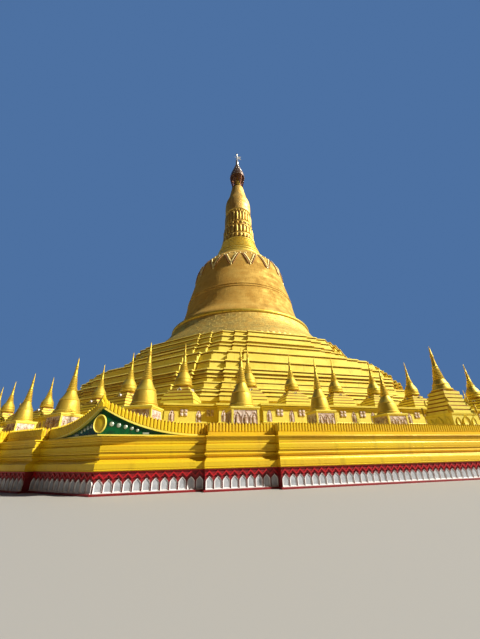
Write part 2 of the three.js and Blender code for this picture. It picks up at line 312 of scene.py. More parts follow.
class Shape:
    """A mesh in the making, shaped with bmesh operators. Its sizes are real metres."""

    def __init__(self) -> None:
        """Starts an empty shape."""
        self.bm = bmesh.new()

    def joined(self, other: "Shape") -> "Shape":
        """Takes in another shape, which is used up."""
        held = bpy.data.meshes.new("joined")
        other.bm.to_mesh(held)
        other.bm.free()
        self.bm.from_mesh(held)
        bpy.data.meshes.remove(held)
        return self

    def stamped(self, unit: bpy.types.Mesh, places: Iterable[Matrix]) -> "Shape":
        """Adds a copy of a mesh at each place.

        Args:
            unit: The mesh to repeat.
            places: One matrix for each copy. A mirroring one keeps the faces outward.

        Returns:
            This shape.
        """
        for place in places:
            copy = unit.copy()
            copy.transform(place)
            if place.determinant() < 0:
                copy.flip_normals()
            self.bm.from_mesh(copy)
            bpy.data.meshes.remove(copy)
        return self

    def doubled(self, mirror: Matrix) -> "Shape":
        """This shape, which is used up, and its mirror image."""
        return Shape().stamped(self.mesh("half"), [IDENTITY, mirror])

    def outward(self) -> "Shape":
        """Turns every face outward."""
        bmesh.ops.recalc_face_normals(self.bm, faces=self.bm.faces)
        return self

    def pushed(self, faces: Sequence[bmesh.types.BMFace]) -> list[bmesh.types.BMFace]:
        """Extrudes faces on the spot and returns the new ones."""
        made = bmesh.ops.extrude_face_region(self.bm, geom=faces)["geom"]
        return [item for item in made if isinstance(item, bmesh.types.BMFace)]

    def tinted(self, where: Callable[[bmesh.types.BMFace], bool] = lambda face: True) -> "Shape":
        """Gives the second finish to the faces that a test picks, or to all."""
        for face in self.bm.faces:
            if where(face):
                face.material_index = 1
        return self

    def block(self, along: Point, out: Point, up: Point, chamfer: float = 0.0) -> "Shape":
        """Adds a box of the south side.

        Args:
            along: Its left and right ends.
            out: Its inner and outer faces.
            up: Its floor and top.
            chamfer: Width of the chamfer on its edges.

        Returns:
            This shape.
        """
        low = Vector((along[0], -out[1], up[0])) * M
        high = Vector((along[1], -out[0], up[1])) * M
        place = Matrix.Translation((low + high) / 2) @ Matrix.Diagonal((*(high - low), 1))
        made = bmesh.ops.create_cube(self.bm, size=1.0, matrix=place)
        if chamfer:
            edges = {edge for vert in made["verts"] for edge in vert.link_edges}
            bmesh.ops.bevel(
                self.bm, geom=list(edges), offset=chamfer * M, affect="EDGES", segments=1,
                profile=0.5, material=-1,
            )
        return self

    def swept(self, line: Sequence[Point], steps: int, spin: float = 0.0) -> "Shape":
        """Adds what a line sweeps about Z.

        Args:
            line: Radius and height of its points. A hoop's line ends where it starts.
            steps: Faces round it.
            spin: Turn of the first face, in radians.

        Returns:
            This shape.
        """
        part = Shape()
        start = about_z(spin)
        verts = [part.bm.verts.new(start @ (Vector((r, 0, z)) * M)) for r, z in line]
        edges = [part.bm.edges.new(pair) for pair in zip(verts, verts[1:])]
        bmesh.ops.spin(
            part.bm, geom=verts + edges, cent=(0, 0, 0), axis=(0, 0, 1), angle=math.tau,
            steps=steps, use_merge=True,
        )
        bmesh.ops.remove_doubles(part.bm, verts=part.bm.verts, dist=1e-6)
        return self.joined(part.outward())

    def turned(self, profile: Sequence[Point], steps: int, spin: float = 0.0) -> "Shape":
        """Adds a body of revolution about Z.

        Args:
            profile: Radius and height of its points from the bottom up. Flat ends are closed.
            steps: Faces round it.
            spin: Turn of the first face, in radians.

        Returns:
            This shape.
        """
        points = list(profile)
        if points[0][0] > 0:
            points.insert(0, (0.0, points[0][1]))
        if points[-1][0] > 0:
            points.append((0.0, points[-1][1]))
        return self.swept(points, steps, spin)

    def hoop(self, section: Sequence[Point], steps: int) -> "Shape":
        """Adds a hoop about Z, from radius and height of the corners of its section."""
        return self.swept([*section, section[0]], steps)

    def squared(self, profile: Sequence[Point]) -> "Shape":
        """Adds a square pyramid of courses, from half width and height of each level."""
        root = math.sqrt(2)
        return self.turned([(half * root, up) for half, up in profile], 4, math.pi / 4)

    def redented(self, strips: Strips, levels: Sequence[Triple]) -> "Shape":
        """Adds a mass on the redented plan.

        Args:
            strips: The strips of its sides.
            levels: Height, apothem and relief of each level, from the bottom up.

        Returns:
            This shape.
        """
        part = Shape()
        count = len(strips.ring(levels[0][1], 0.0))
        verts = bmesh.ops.create_circle(part.bm, cap_ends=True, segments=count, radius=1.0)["verts"]
        top = verts[0].link_faces[0]
        for number, (up, apothem, relief) in enumerate(levels):
            if number:
                cap = top
                top = part.pushed([cap])[0]
                if number > 1:
                    bmesh.ops.delete(part.bm, geom=[cap], context="FACES_ONLY")
                standing = {tuple(vert.co): vert for vert in top.verts}
                verts = [standing[tuple(vert.co)] for vert in verts]
            for vert, place in zip(verts, strips.ring(apothem, relief)):
                vert.co = place + Vector((0, 0, up * M))
        return self.joined(part.outward())

    def relief(
        self, outline: Sequence[Point], thick: float, rim: float = 0.0, swell: float = 0.0,
        inner_finish: int = 0,
    ) -> "Shape":
        """Adds a plate in the plane of the side, with its face pushed out or sunk in.

        Args:
            outline: Along and up of its corners, anticlockwise as seen from outside.
            thick: How far its face stands out from y = 0.
            rim: Width of the border round the pushed part, or 0 for a flat face.
            swell: How far the inner part stands out past the border. Sunk if negative.
            inner_finish: Number of the finish on the inner part.

        Returns:
            This shape.
        """
        part = Shape()
        back = part.bm.faces.new([part.bm.verts.new(Vector((x, 0, z)) * M) for x, z in outline])
        front = part.pushed([back])[0]
        bmesh.ops.translate(part.bm, verts=front.verts, vec=(0, -thick * M, 0))
        part.outward()
        if rim:
            bmesh.ops.inset_region(
                part.bm, faces=[front], thickness=rim * M, depth=swell * M,
                use_even_offset=True,
            )
            front.material_index = inner_finish
        return self.joined(part)

    def ball(self, radius: Sequence[float], centre: Sequence[float], fine: int = 1) -> "Shape":
        """Adds an egg-shaped lump.

        Args:
            radius: Its half widths along x, y and z.
            centre: Its place on the south side: along, out and up.
            fine: Subdivisions of the icosphere it starts from.

        Returns:
            This shape.
        """
        place = at(*centre) @ Matrix.Diagonal((*(r * M for r in radius), 1))
        bmesh.ops.create_icosphere(self.bm, subdivisions=fine, radius=1.0, matrix=place)
        return self

    def mesh(self, name: str) -> bpy.types.Mesh:
        """Ends the making and returns the mesh."""
        made = bpy.data.meshes.new(name)
        self.bm.to_mesh(made)
        self.bm.free()
        return made


class Value:
    """A shader socket that takes part in arithmetic; each operation adds a Math node."""

    def __init__(self, graph: "Graph", socket: bpy.types.NodeSocket) -> None:
        """Wraps a socket of a graph."""
        self.graph = graph
        self.socket = socket

    def _with(self, operation: str, first: "Value | float", second: "Value | float") -> "Value":
        """Adds a Math node on two terms."""
        return self.graph.node("ShaderNodeMath", {"operation": operation}, {0: first, 1: second})

    def __add__(self, other: "Value | float") -> "Value":
        """Sum."""
        return self._with("ADD", self, other)

    def __radd__(self, other: float) -> "Value":
        """Sum with a number on the left."""
        return self._with("ADD", other, self)

    def __sub__(self, other: "Value | float") -> "Value":
        """Difference."""
        return self._with("SUBTRACT", self, other)

    def __mul__(self, other: "Value | float") -> "Value":
        """Product."""
        return self._with("MULTIPLY", self, other)

    def __rmul__(self, other: float) -> "Value":
        """Product with a number on the left."""
        return self._with("MULTIPLY", other, self)

    def clamped(self) -> "Value":
        """Held between 0 and 1."""
        node = {"operation": "ADD", "use_clamp": True}
        return self.graph.node("ShaderNodeMath", node, {0: self, 1: 0.0})

    def between(self, low: float, high: float) -> "Value":
        """0 below low, 1 above high, and a smooth step between them."""
        settings = {"interpolation_type": "SMOOTHSTEP"}
        inputs = {"Value": self, "From Min": low, "From Max": high}
        return self.graph.node("ShaderNodeMapRange", settings, inputs)


class Graph:
    """Node tree of a material or of the surroundings, with a single way to add a node."""

    def __init__(
        self, owner: bpy.types.Material | bpy.types.World, output: str = "ShaderNodeOutputMaterial"
    ) -> None:
        """Clears the owner's nodes and adds its output."""
        owner.use_nodes = True
        self.tree = owner.node_tree
        self.tree.nodes.clear()
        self.end = self.tree.nodes.new(output)

    def node(self, kind: str, settings: dict, inputs: dict, output: int | str = 0) -> Value:
        """Adds a node.

        Args:
            kind: Its type.
            settings: Its properties.
            inputs: Values or links of its sockets, by name or number.
            output: The output that is wanted.

        Returns:
            The wanted output.
        """
        made = self.tree.nodes.new(kind)
        for name, setting in settings.items():
            setattr(made, name, setting)
        for name, given in inputs.items():
            socket = made.inputs[name]
            if isinstance(given, Value):
                self.tree.links.new(given.socket, socket)
            else:
                socket.default_value = given
        return Value(self, made.outputs[output])

    def here(self) -> Value:
        """Object coordinates."""
        return self.node("ShaderNodeTexCoord", {}, {}, "Object")

    def part_of(self, vector: Value, axis: str) -> Value:
        """One coordinate of a vector."""
        return self.node("ShaderNodeSeparateXYZ", {}, {"Vector": vector}, axis)

    def noise(self, size: float, detail: float, stretch: Sequence[float] = (1, 1, 1)) -> Value:
        """Soft noise from 0 to 1.

        Args:
            size: Size of its patches, in real metres.
            detail: Octaves of finer noise on top.
            stretch: Factors on the coordinates. A small one draws the patches out.

        Returns:
            The noise.
        """
        vector = self.node("ShaderNodeMapping", {}, {"Vector": self.here(), "Scale": stretch})
        inputs = {"Vector": vector, "Scale": 1 / (size * M), "Detail": detail}
        return self.node("ShaderNodeTexNoise", {}, inputs)

    def mixed(self, share: Value | float, first: Value | Colour, second: Value | Colour) -> Value:
        """Mix of two colours."""
        settings = {"data_type": "RGBA", "clamp_factor": True}
        return self.node("ShaderNodeMix", settings, {0: share, 6: first, 7: second}, 2)

    def bump(self, height: Value, deep: float) -> Value:
        """Normal of a relief from 0 to 1, deep real metres."""
        inputs = {"Height": height, "Distance": deep * M, "Strength": 1.0}
        return self.node("ShaderNodeBump", {}, inputs)

    def surface(self, inputs: dict) -> None:
        """Adds the surface shader and joins it to the output."""
        self.ended(self.node("ShaderNodeBsdfPrincipled", {}, inputs))

    def ended(self, shader: Value) -> None:
        """Joins a shader to the output."""
        self.tree.links.new(shader.socket, self.end.inputs["Surface"])


@dataclass(frozen=True)
class Finish:
    """Finish with a main tone, a second tone in patches, grime in runs and a fine grain.

    Attributes:
        name: Name of the material.
        slot: The slot of the record it belongs to. Not used by this script.
        tone: Main colour.
        second: Colour of the patches.
        grime: Colour of the dirt.
        metal: Share of metal.
        rough: Roughness.
        patch: Size of the patches, in real metres.
        dirt: How much of the surface the dirt covers, from 0 to 1.
        grain: Depth of the fine relief, in real metres.
    """

    name: str
    slot: Slot
    tone: Colour
    second: Colour
    grime: Colour
    metal: float = 0.0
    rough: float = 0.5
    patch: float = 1.5
    dirt: float = 0.3
    grain: float = 0.01

    def material(self) -> bpy.types.Material:
        """The material, made on first use."""
        found = bpy.data.materials.get(self.name)
        if found is None:
            found = bpy.data.materials.new(self.name)
            found.diffuse_color = self.tone
            self.build(Graph(found))
        return found

    def build(self, graph: Graph) -> None:
        """Adds the nodes."""
        colour, patches = self.coat(graph)
        grain = graph.noise(GRAIN_SIZE, 4.0)
        graph.surface({
            "Base Color": colour,
            "Metallic": self.metal,
            "Roughness": (self.rough + 0.18 * (grain - 0.5) + 0.12 * (patches - 0.5)).clamped(),
            "Normal": graph.bump(grain, self.grain),
        })

    def coat(self, graph: Graph) -> tuple[Value, Value]:
        """Colour with its patches and dirt, and the patches alone."""
        patches = graph.noise(self.patch, 5.0).between(0.35, 0.68)
        runs = graph.noise(RUN_SIZE, 4.0, RUN_STRETCH).between(0.62 - 0.25 * self.dirt, 0.85)
        colour = graph.mixed(patches, self.tone, self.second)
        return graph.mixed(runs * self.dirt, colour, self.grime), patches


@dataclass(frozen=True)
class PlatedFinish(Finish):
    """Gilt plates laid in rings round the axis, each plate a little different.

    Attributes:
        plate: Width and height of a plate, in real metres.
        radius: Radius at which the plates have that width.
        seam: How dark the seams are, from 0 to 1.
        edge: Tint of the metal where it is seen at a low angle.
    """

    plate: Point = (2.2, 1.1)
    radius: float = 15.0
    seam: float = 0.4
    edge: Colour = (0.55, 0.40, 0.22, 1)

    def build(self, graph: Graph) -> None:
        """Adds the nodes."""
        here = graph.here()
        across = graph.node(
            "ShaderNodeMath", {"operation": "ARCTAN2"},
            {0: graph.part_of(here, "Y"), 1: graph.part_of(here, "X")},
        )
        laid = graph.node(
            "ShaderNodeCombineXYZ", {},
            {"X": across * (self.radius * M), "Y": graph.part_of(here, "Z")},
        )
        plates = {
            "Vector": laid, "Scale": 1.0, "Mortar Size": SEAM_WIDTH * M, "Mortar Smooth": 0.3,
            "Brick Width": self.plate[0] * M, "Row Height": self.plate[1] * M,
            "Color1": (0.15, 0.15, 0.15, 1), "Color2": (0.85, 0.85, 0.85, 1),
        }
        shade = graph.node("ShaderNodeTexBrick", {}, plates, "Color")
        seams = graph.node("ShaderNodeTexBrick", {}, plates, "Fac")
        tint = graph.node("ShaderNodeRGBToBW", {}, {"Color": shade})
        colour, patches = self.coat(graph)
        colour = graph.mixed(tint * 0.35, colour, self.second)
        colour = graph.mixed(seams * self.seam, colour, self.grime)
        grain = graph.noise(PLATE_GRAIN_SIZE, 5.0)
        dents = graph.noise(DENT_SIZE, 2.0)
        height = grain * 0.35 + dents * 0.65 - seams * 0.5
        rough = self.rough + 0.16 * (tint - 0.5) + 0.2 * (grain - 0.5) + 0.1 * patches
        graph.surface({
            "Base Color": colour,
            "Metallic": self.metal,
            "Specular Tint": self.edge,
            "Roughness": rough.clamped(),
            "Normal": graph.bump(height, self.grain),
        })


WALL_GOLD = Finish(
    "wall_gold_paint", Slot.WALL, (0.84, 0.58, 0.016, 1), (0.78, 0.50, 0.014, 1),
    (0.22, 0.10, 0.012, 1), metal=0.15, rough=0.42, patch=2.5, dirt=0.35, grain=0.012,
)
PALE_GOLD = Finish(
    "pale_gold_paint", Slot.WALL, (0.88, 0.76, 0.12, 1), (0.80, 0.64, 0.08, 1),
    (0.30, 0.17, 0.04, 1), metal=0.15, rough=0.5, patch=1.2, dirt=0.3, grain=0.012,
)
TERRACE_GOLD = Finish(
    "terrace_gold_paint", Slot.TERRACE, (0.90, 0.74, 0.12, 1), (0.82, 0.63, 0.08, 1),
    (0.28, 0.13, 0.02, 1), metal=0.2, rough=0.6, patch=3.0, dirt=0.35, grain=0.02,
)
# Darker gold for the faces under the terraces' lips and in their grooves: painted shade.
TERRACE_PAINTED_SHADE = Finish(
    "grooved_gold_painted_shade", Slot.TERRACE, (0.46, 0.24, 0.03, 1), (0.34, 0.16, 0.02, 1),
    (0.12, 0.05, 0.01, 1), metal=0.1, rough=0.6, patch=2.0, dirt=0.3, grain=0.01,
)
BELL_GILT = PlatedFinish(
    "bell_gilt", Slot.GILT, (0.76, 0.54, 0.165, 1), (0.70, 0.47, 0.13, 1),
    (0.30, 0.17, 0.04, 1), metal=0.95, rough=0.85, patch=2.2, dirt=0.25, grain=0.05,
)
DRUM_GILT = PlatedFinish(
    "drum_gilt", Slot.GILT, (0.92, 0.70, 0.22, 1), (0.74, 0.49, 0.13, 1),
    (0.18, 0.09, 0.02, 1), metal=0.95, rough=0.56, patch=1.4, dirt=0.5, grain=0.06,
    plate=(1.8, 0.8), radius=22.0, seam=0.8,
)
CAST_GILT = Finish(
    "cast_gilt", Slot.GILT, (0.72, 0.54, 0.08, 1), (0.62, 0.42, 0.05, 1),
    (0.24, 0.11, 0.02, 1), metal=0.75, rough=0.58, patch=0.8, dirt=0.3, grain=0.012,
)
BUD_GILT = PlatedFinish(
    "bud_gilt", Slot.GILT, (0.92, 0.66, 0.24, 1), (0.78, 0.50, 0.14, 1),
    (0.26, 0.13, 0.025, 1), metal=0.95, rough=0.55, patch=1.6, dirt=0.3, grain=0.03,
    plate=(0.9, 0.7), radius=4.5,
)
NECK_GILT = Finish(
    "neck_gilt", Slot.GILT, (0.92, 0.70, 0.13, 1), (0.82, 0.58, 0.08, 1),
    (0.26, 0.13, 0.02, 1), metal=0.62, rough=0.52, patch=0.8, dirt=0.25, grain=0.012,
)
LOTUS_GILT = Finish(
    "lotus_gilt", Slot.GILT, (0.80, 0.58, 0.16, 1), (0.66, 0.44, 0.10, 1),
    (0.20, 0.10, 0.02, 1), metal=0.85, rough=0.6, patch=0.8, dirt=0.4, grain=0.015,
)
# Light gilt for one strand of the bell's garlands and for the swag beads: painted light.
PAINTED_LIGHT_GILT = Finish(
    "bright_gilt_painted_light", Slot.GILT, (0.95, 0.82, 0.40, 1), (0.88, 0.68, 0.24, 1),
    (0.30, 0.15, 0.03, 1), metal=0.3, rough=0.4, patch=0.4, dirt=0.2, grain=0.01,
)
# Dark gold for the wall behind the parapet's leaves and for the grooves of the stepped bases: painted
# shade.
PAINTED_SHADE_GOLD = Finish(
    "deep_gold_painted_shade", Slot.WALL, (0.40, 0.16, 0.02, 1), (0.30, 0.11, 0.015, 1),
    (0.10, 0.04, 0.01, 1), metal=0.1, rough=0.6, patch=0.8, dirt=0.3, grain=0.01,
)
# Dark gilt for the neck's grooves, the recessed walls of the lotus bands and one strand of the
# garlands: painted shade.
PAINTED_SHADE_GILT = Finish(
    "dark_gilt_painted_shade", Slot.GILT, (0.42, 0.21, 0.05, 1), (0.30, 0.13, 0.03, 1),
    (0.10, 0.04, 0.01, 1), metal=0.3, rough=0.5, patch=0.6, dirt=0.3, grain=0.02,
)
# Brown tone on the slopes of the silver cap, so that they read dark: painted shade.
CAP_PAINTED_SHADE_SILVER = Finish(
    "cap_silver_painted_shade", Slot.SILVER, (0.28, 0.17, 0.12, 1), (0.17, 0.08, 0.05, 1),
    (0.10, 0.05, 0.04, 1), metal=0.85, rough=0.42, patch=0.4, dirt=0.5, grain=0.01,
)
RED_PAINT = Finish(
    "dark_red_paint", Slot.KERB, (0.28, 0.008, 0.012, 1), (0.20, 0.006, 0.008, 1),
    (0.05, 0.006, 0.006, 1), rough=0.5, patch=0.6, dirt=0.35, grain=0.008,
)
CRIMSON_PAINT = Finish(
    "crimson_paint", Slot.KERB, (0.52, 0.010, 0.018, 1), (0.40, 0.008, 0.012, 1),
    (0.10, 0.008, 0.008, 1), rough=0.42, patch=0.5, dirt=0.3, grain=0.006,
)
WHITE_PLASTER = Finish(
    "white_plaster", Slot.PLASTER, (0.80, 0.78, 0.78, 1), (0.70, 0.64, 0.63, 1),
    (0.32, 0.20, 0.18, 1), rough=0.65, patch=0.4, dirt=0.4, grain=0.01,
)
GREY_RECESS = Finish(
    "grey_recess", Slot.PLASTER, (0.50, 0.53, 0.58, 1), (0.38, 0.40, 0.44, 1),
    (0.12, 0.11, 0.11, 1), rough=0.6, patch=0.3, dirt=0.4, grain=0.01,
)
PINK_PLASTER = Finish(
    "pink_relief_plaster", Slot.PLASTER, (0.78, 0.66, 0.58, 1), (0.46, 0.30, 0.22, 1),
    (0.16, 0.08, 0.06, 1), rough=0.6, patch=0.25, dirt=0.4, grain=0.015,
)
GREEN_GLAZE = Finish(
    "green_glaze", Slot.GREEN, (0.004, 0.085, 0.022, 1), (0.003, 0.035, 0.012, 1),
    (0.004, 0.02, 0.01, 1), rough=0.25, patch=0.3, dirt=0.35, grain=0.008,
)
SILVER_GLASS = Finish(
    "silver_boss", Slot.SILVER, (0.52, 0.58, 0.46, 1), (0.40, 0.46, 0.34, 1),
    (0.18, 0.2, 0.14, 1), metal=0.4, rough=0.35, patch=0.1, dirt=0.15, grain=0.004,
)
SILVER = Finish(
    "silver_metal", Slot.SILVER, (0.80, 0.79, 0.75, 1), (0.62, 0.55, 0.45, 1),
    (0.22, 0.17, 0.12, 1), metal=0.85, rough=0.3, patch=0.3, dirt=0.3, grain=0.008,
)
VANE_SILVER = Finish(
    "vane_silver", Slot.SILVER, (0.60, 0.62, 0.66, 1), (0.50, 0.52, 0.56, 1),
    (0.25, 0.25, 0.26, 1), metal=0.4, rough=0.4, patch=0.3, dirt=0.2, grain=0.004,
)
# Red bronze of the umbrella frame: the red is its own, and its darkness is partly painted shade for the
# inside of the umbrella.
RED_BRONZE = Finish(
    "red_bronze", Slot.BRONZE, (0.12, 0.022, 0.016, 1), (0.07, 0.014, 0.010, 1),
    (0.03, 0.01, 0.008, 1), metal=0.5, rough=0.45, patch=0.3, dirt=0.4, grain=0.01,
)


def mirrored(right: Sequence[Point]) -> list[Point]:
    """Whole outline from its right-hand half.

    Args:
        right: Corners of that half, from the foot up.

    Returns:
        All corners, anticlockwise as seen from outside.
    """
    foot, *rest = right
    return [(-foot[0], foot[1]), foot, *rest, *((-x, up) for x, up in reversed(rest) if x)]


def pointed_arch(width: float, spring: float, tall: float, steps: int = 3) -> list[Point]:
    """Outline of a pointed arch that stands on z = 0.

    Args:
        width: Its width.
        spring: Height where the curves start.
        tall: Its whole height.
        steps: Points on each curve.

    Returns:
        Its corners, anticlockwise as seen from outside.
    """
    half = width / 2
    shares = [i / steps for i in range(1, steps)]
    bend = [
        (half * math.cos(math.pi / 2 * share) ** ARCH_BEND, spring + (tall - spring) * share)
        for share in shares
    ]
    return mirrored([(half, 0), (half, spring), *bend, (0, tall)])


def spread(left: float, right: float, pitch: float) -> list[float]:
    """Middles of equal bays of about one pitch between two ends."""
    count = max(1, round((right - left) / pitch))
    width = (right - left) / count
    return [left + width * (i + 0.5) for i in range(count)]


def placed(name: str, data: bpy.types.ID) -> bpy.types.Object:
    """A new object in the scene."""
    made = bpy.data.objects.new(name, data)
    bpy.context.scene.collection.objects.link(made)
    return made


class Assembly:
    """Base of the sub-assemblies."""

    def place(
        self, name: str, shape: Shape | bpy.types.Mesh, finishes: Sequence[Finish],
        replaced: Sequence[str] = (), body: Body = Body.STUPA, round_below: float = 0.0,
    ) -> bpy.types.Object:
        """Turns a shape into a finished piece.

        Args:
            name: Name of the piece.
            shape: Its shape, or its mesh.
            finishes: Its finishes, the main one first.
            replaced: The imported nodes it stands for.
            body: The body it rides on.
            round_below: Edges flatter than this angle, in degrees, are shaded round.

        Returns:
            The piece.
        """
        mesh = shape.mesh(name) if isinstance(shape, Shape) else shape
        mesh.name = name
        for finish in finishes:
            mesh.materials.append(finish.material())
        if round_below:
            mesh.shade_smooth()
            mesh.set_sharp_from_angle(angle=math.radians(round_below))
        piece = placed(name, mesh)
        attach(piece, body.value)
        if replaced:
            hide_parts(*replaced)
        LOG.info("%s: %d faces", name, len(mesh.polygons))
        return piece

    def around(
        self, name: str, unit: Shape, finishes: Sequence[Finish], replaced: str = "",
        round_below: float = 0.0,
    ) -> None:
        """Places the south side's shape on all eight sides, one piece each.

        Args:
            name: Name of the pieces, which the side's name follows.
            unit: The south side's shape.
            finishes: Its finishes.
            replaced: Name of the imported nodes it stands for, before the side's name.
            round_below: Edges flatter than this angle, in degrees, are shaded round.
        """
        south = unit.mesh(name)
        for side in Side:
            mesh = south.copy()
            mesh.transform(side.turn)
            nodes = [f"{replaced}_{side.label}"] if replaced else []
            self.place(f"{name}_{side.label}", mesh, finishes, nodes, round_below=round_below)
        bpy.data.meshes.remove(south)


@dataclass
class Plinth(Assembly):
    """Kerb, niche course and the two moulded walls of the plinth."""

    kerb: tuple[Point, ...] = ((0, 60.3), (0.08, 60.3), (0.1, 60.27))
    niche_back: tuple[Point, ...] = ((0.1, 60.06), (0.78, 60.06), (0.8, 60.12), (1.1, 60.12))
    lower: tuple[Point, ...] = (
        (1.1, 60.18), (1.14, 60.24), (1.46, 60.24), (1.51, 60.18), (1.53, 60.08), (1.58, 60.06),
        (1.62, 59.9), (1.7, 59.84), (2.0, 59.9),
    )
    lower_lines: tuple[Line, ...] = (
        Line(1.84, 0.18, 0.14), Line(1.97, 0.05, 0.07, Mark.FILLET),
        Line(1.2, 0.03, -0.02, Mark.FILLET),
    )
    upper: tuple[Point, ...] = (
        (2.0, 59.94), (2.03, 60.02), (2.32, 60.02), (2.35, 59.98), (2.37, 59.9), (2.41, 59.88),
        (2.44, 59.92), (2.54, 59.92), (2.56, 59.88), (2.59, 59.9), (2.72, 59.92), (2.75, 60.0),
        (2.84, 60.02), (2.841, 59.2), (3.0, 59.2),
    )
    upper_lines: tuple[Line, ...] = (
        Line(2.1, 0.025, -0.02, Mark.FILLET), Line(2.65, 0.05, 0.04), Line(2.79, 0.05, 0.06),
    )
    niche_pitch: float = 0.46
    niche_width: float = 0.4
    niche_foot: float = 0.13
    niche_tall: float = 0.62
    niche_deep: float = 0.08
    sill_foot: float = 0.1
    sill_deep: float = 0.12
    chevron_foot: float = 0.72
    chevron_tall: float = 0.22
    chevron_thick: float = 0.09
    line_deep: float = 0.05
    line_rise: Point = (1.04, 1.09)

    def build(self) -> None:
        """Makes the plinth."""
        masses = [
            ("kerb_course", self.kerb, (), RED_PAINT, "base_kerb"),
            ("lower_wall_moulding", self.lower, self.lower_lines, WALL_GOLD, "lower_plinth_wall"),
            ("upper_wall_moulding", self.upper, self.upper_lines, WALL_GOLD, "upper_plinth_wall"),
            ("niche_wall", self.niche_back, (), RED_PAINT, "niche_course"),
        ]
        for name, course, lines, finish, node in masses:
            shape = Shape().redented(PLINTH, moulded(course, lines))
            self.place(name, shape, [finish], [node])
        self.around("niches", self.niches(), [WHITE_PLASTER, GREY_RECESS])
        self.around("chevrons", self.chevrons(), [CRIMSON_PAINT])

    def niches(self) -> Shape:
        """White pointed niches of one side on their sill."""
        arch = pointed_arch(self.niche_width, self.niche_tall * 0.6, self.niche_tall)
        niche = Shape().relief(arch, self.niche_deep, rim=0.045, swell=-0.04, inner_finish=1)
        unit = niche.mesh("niche")
        side = Shape()
        for left, right, face in PLINTH.stretches(self.niche_back[0][1]):
            sill = (self.sill_foot, self.niche_foot)
            side.block((left + 0.02, right - 0.02), (face, face + self.sill_deep), sill)
            places = spread(left, right, self.niche_pitch)
            side.stamped(unit, [at(u, face, self.niche_foot) for u in places])
        return side

    def chevrons(self) -> Shape:
        """Red zigzag over the niches of one side."""
        side = Shape()
        for left, right, face in PLINTH.stretches(self.niche_back[2][1]):
            places = spread(left, right, self.niche_pitch)
            half = (right - left) / len(places) / 2
            low, tall, thick = self.chevron_foot, self.chevron_tall, self.chevron_thick
            bar = [
                (-half, low), (0, low + tall), (half, low), (half, low + thick),
                (0, low + tall + thick), (-half, low + thick),
            ]
            unit = Shape().relief(bar, self.line_deep).mesh("chevron")
            side.stamped(unit, [at(u, face, 0) for u in places])
            side.block((left, right), (face, face + self.line_deep), self.line_rise)
        return side


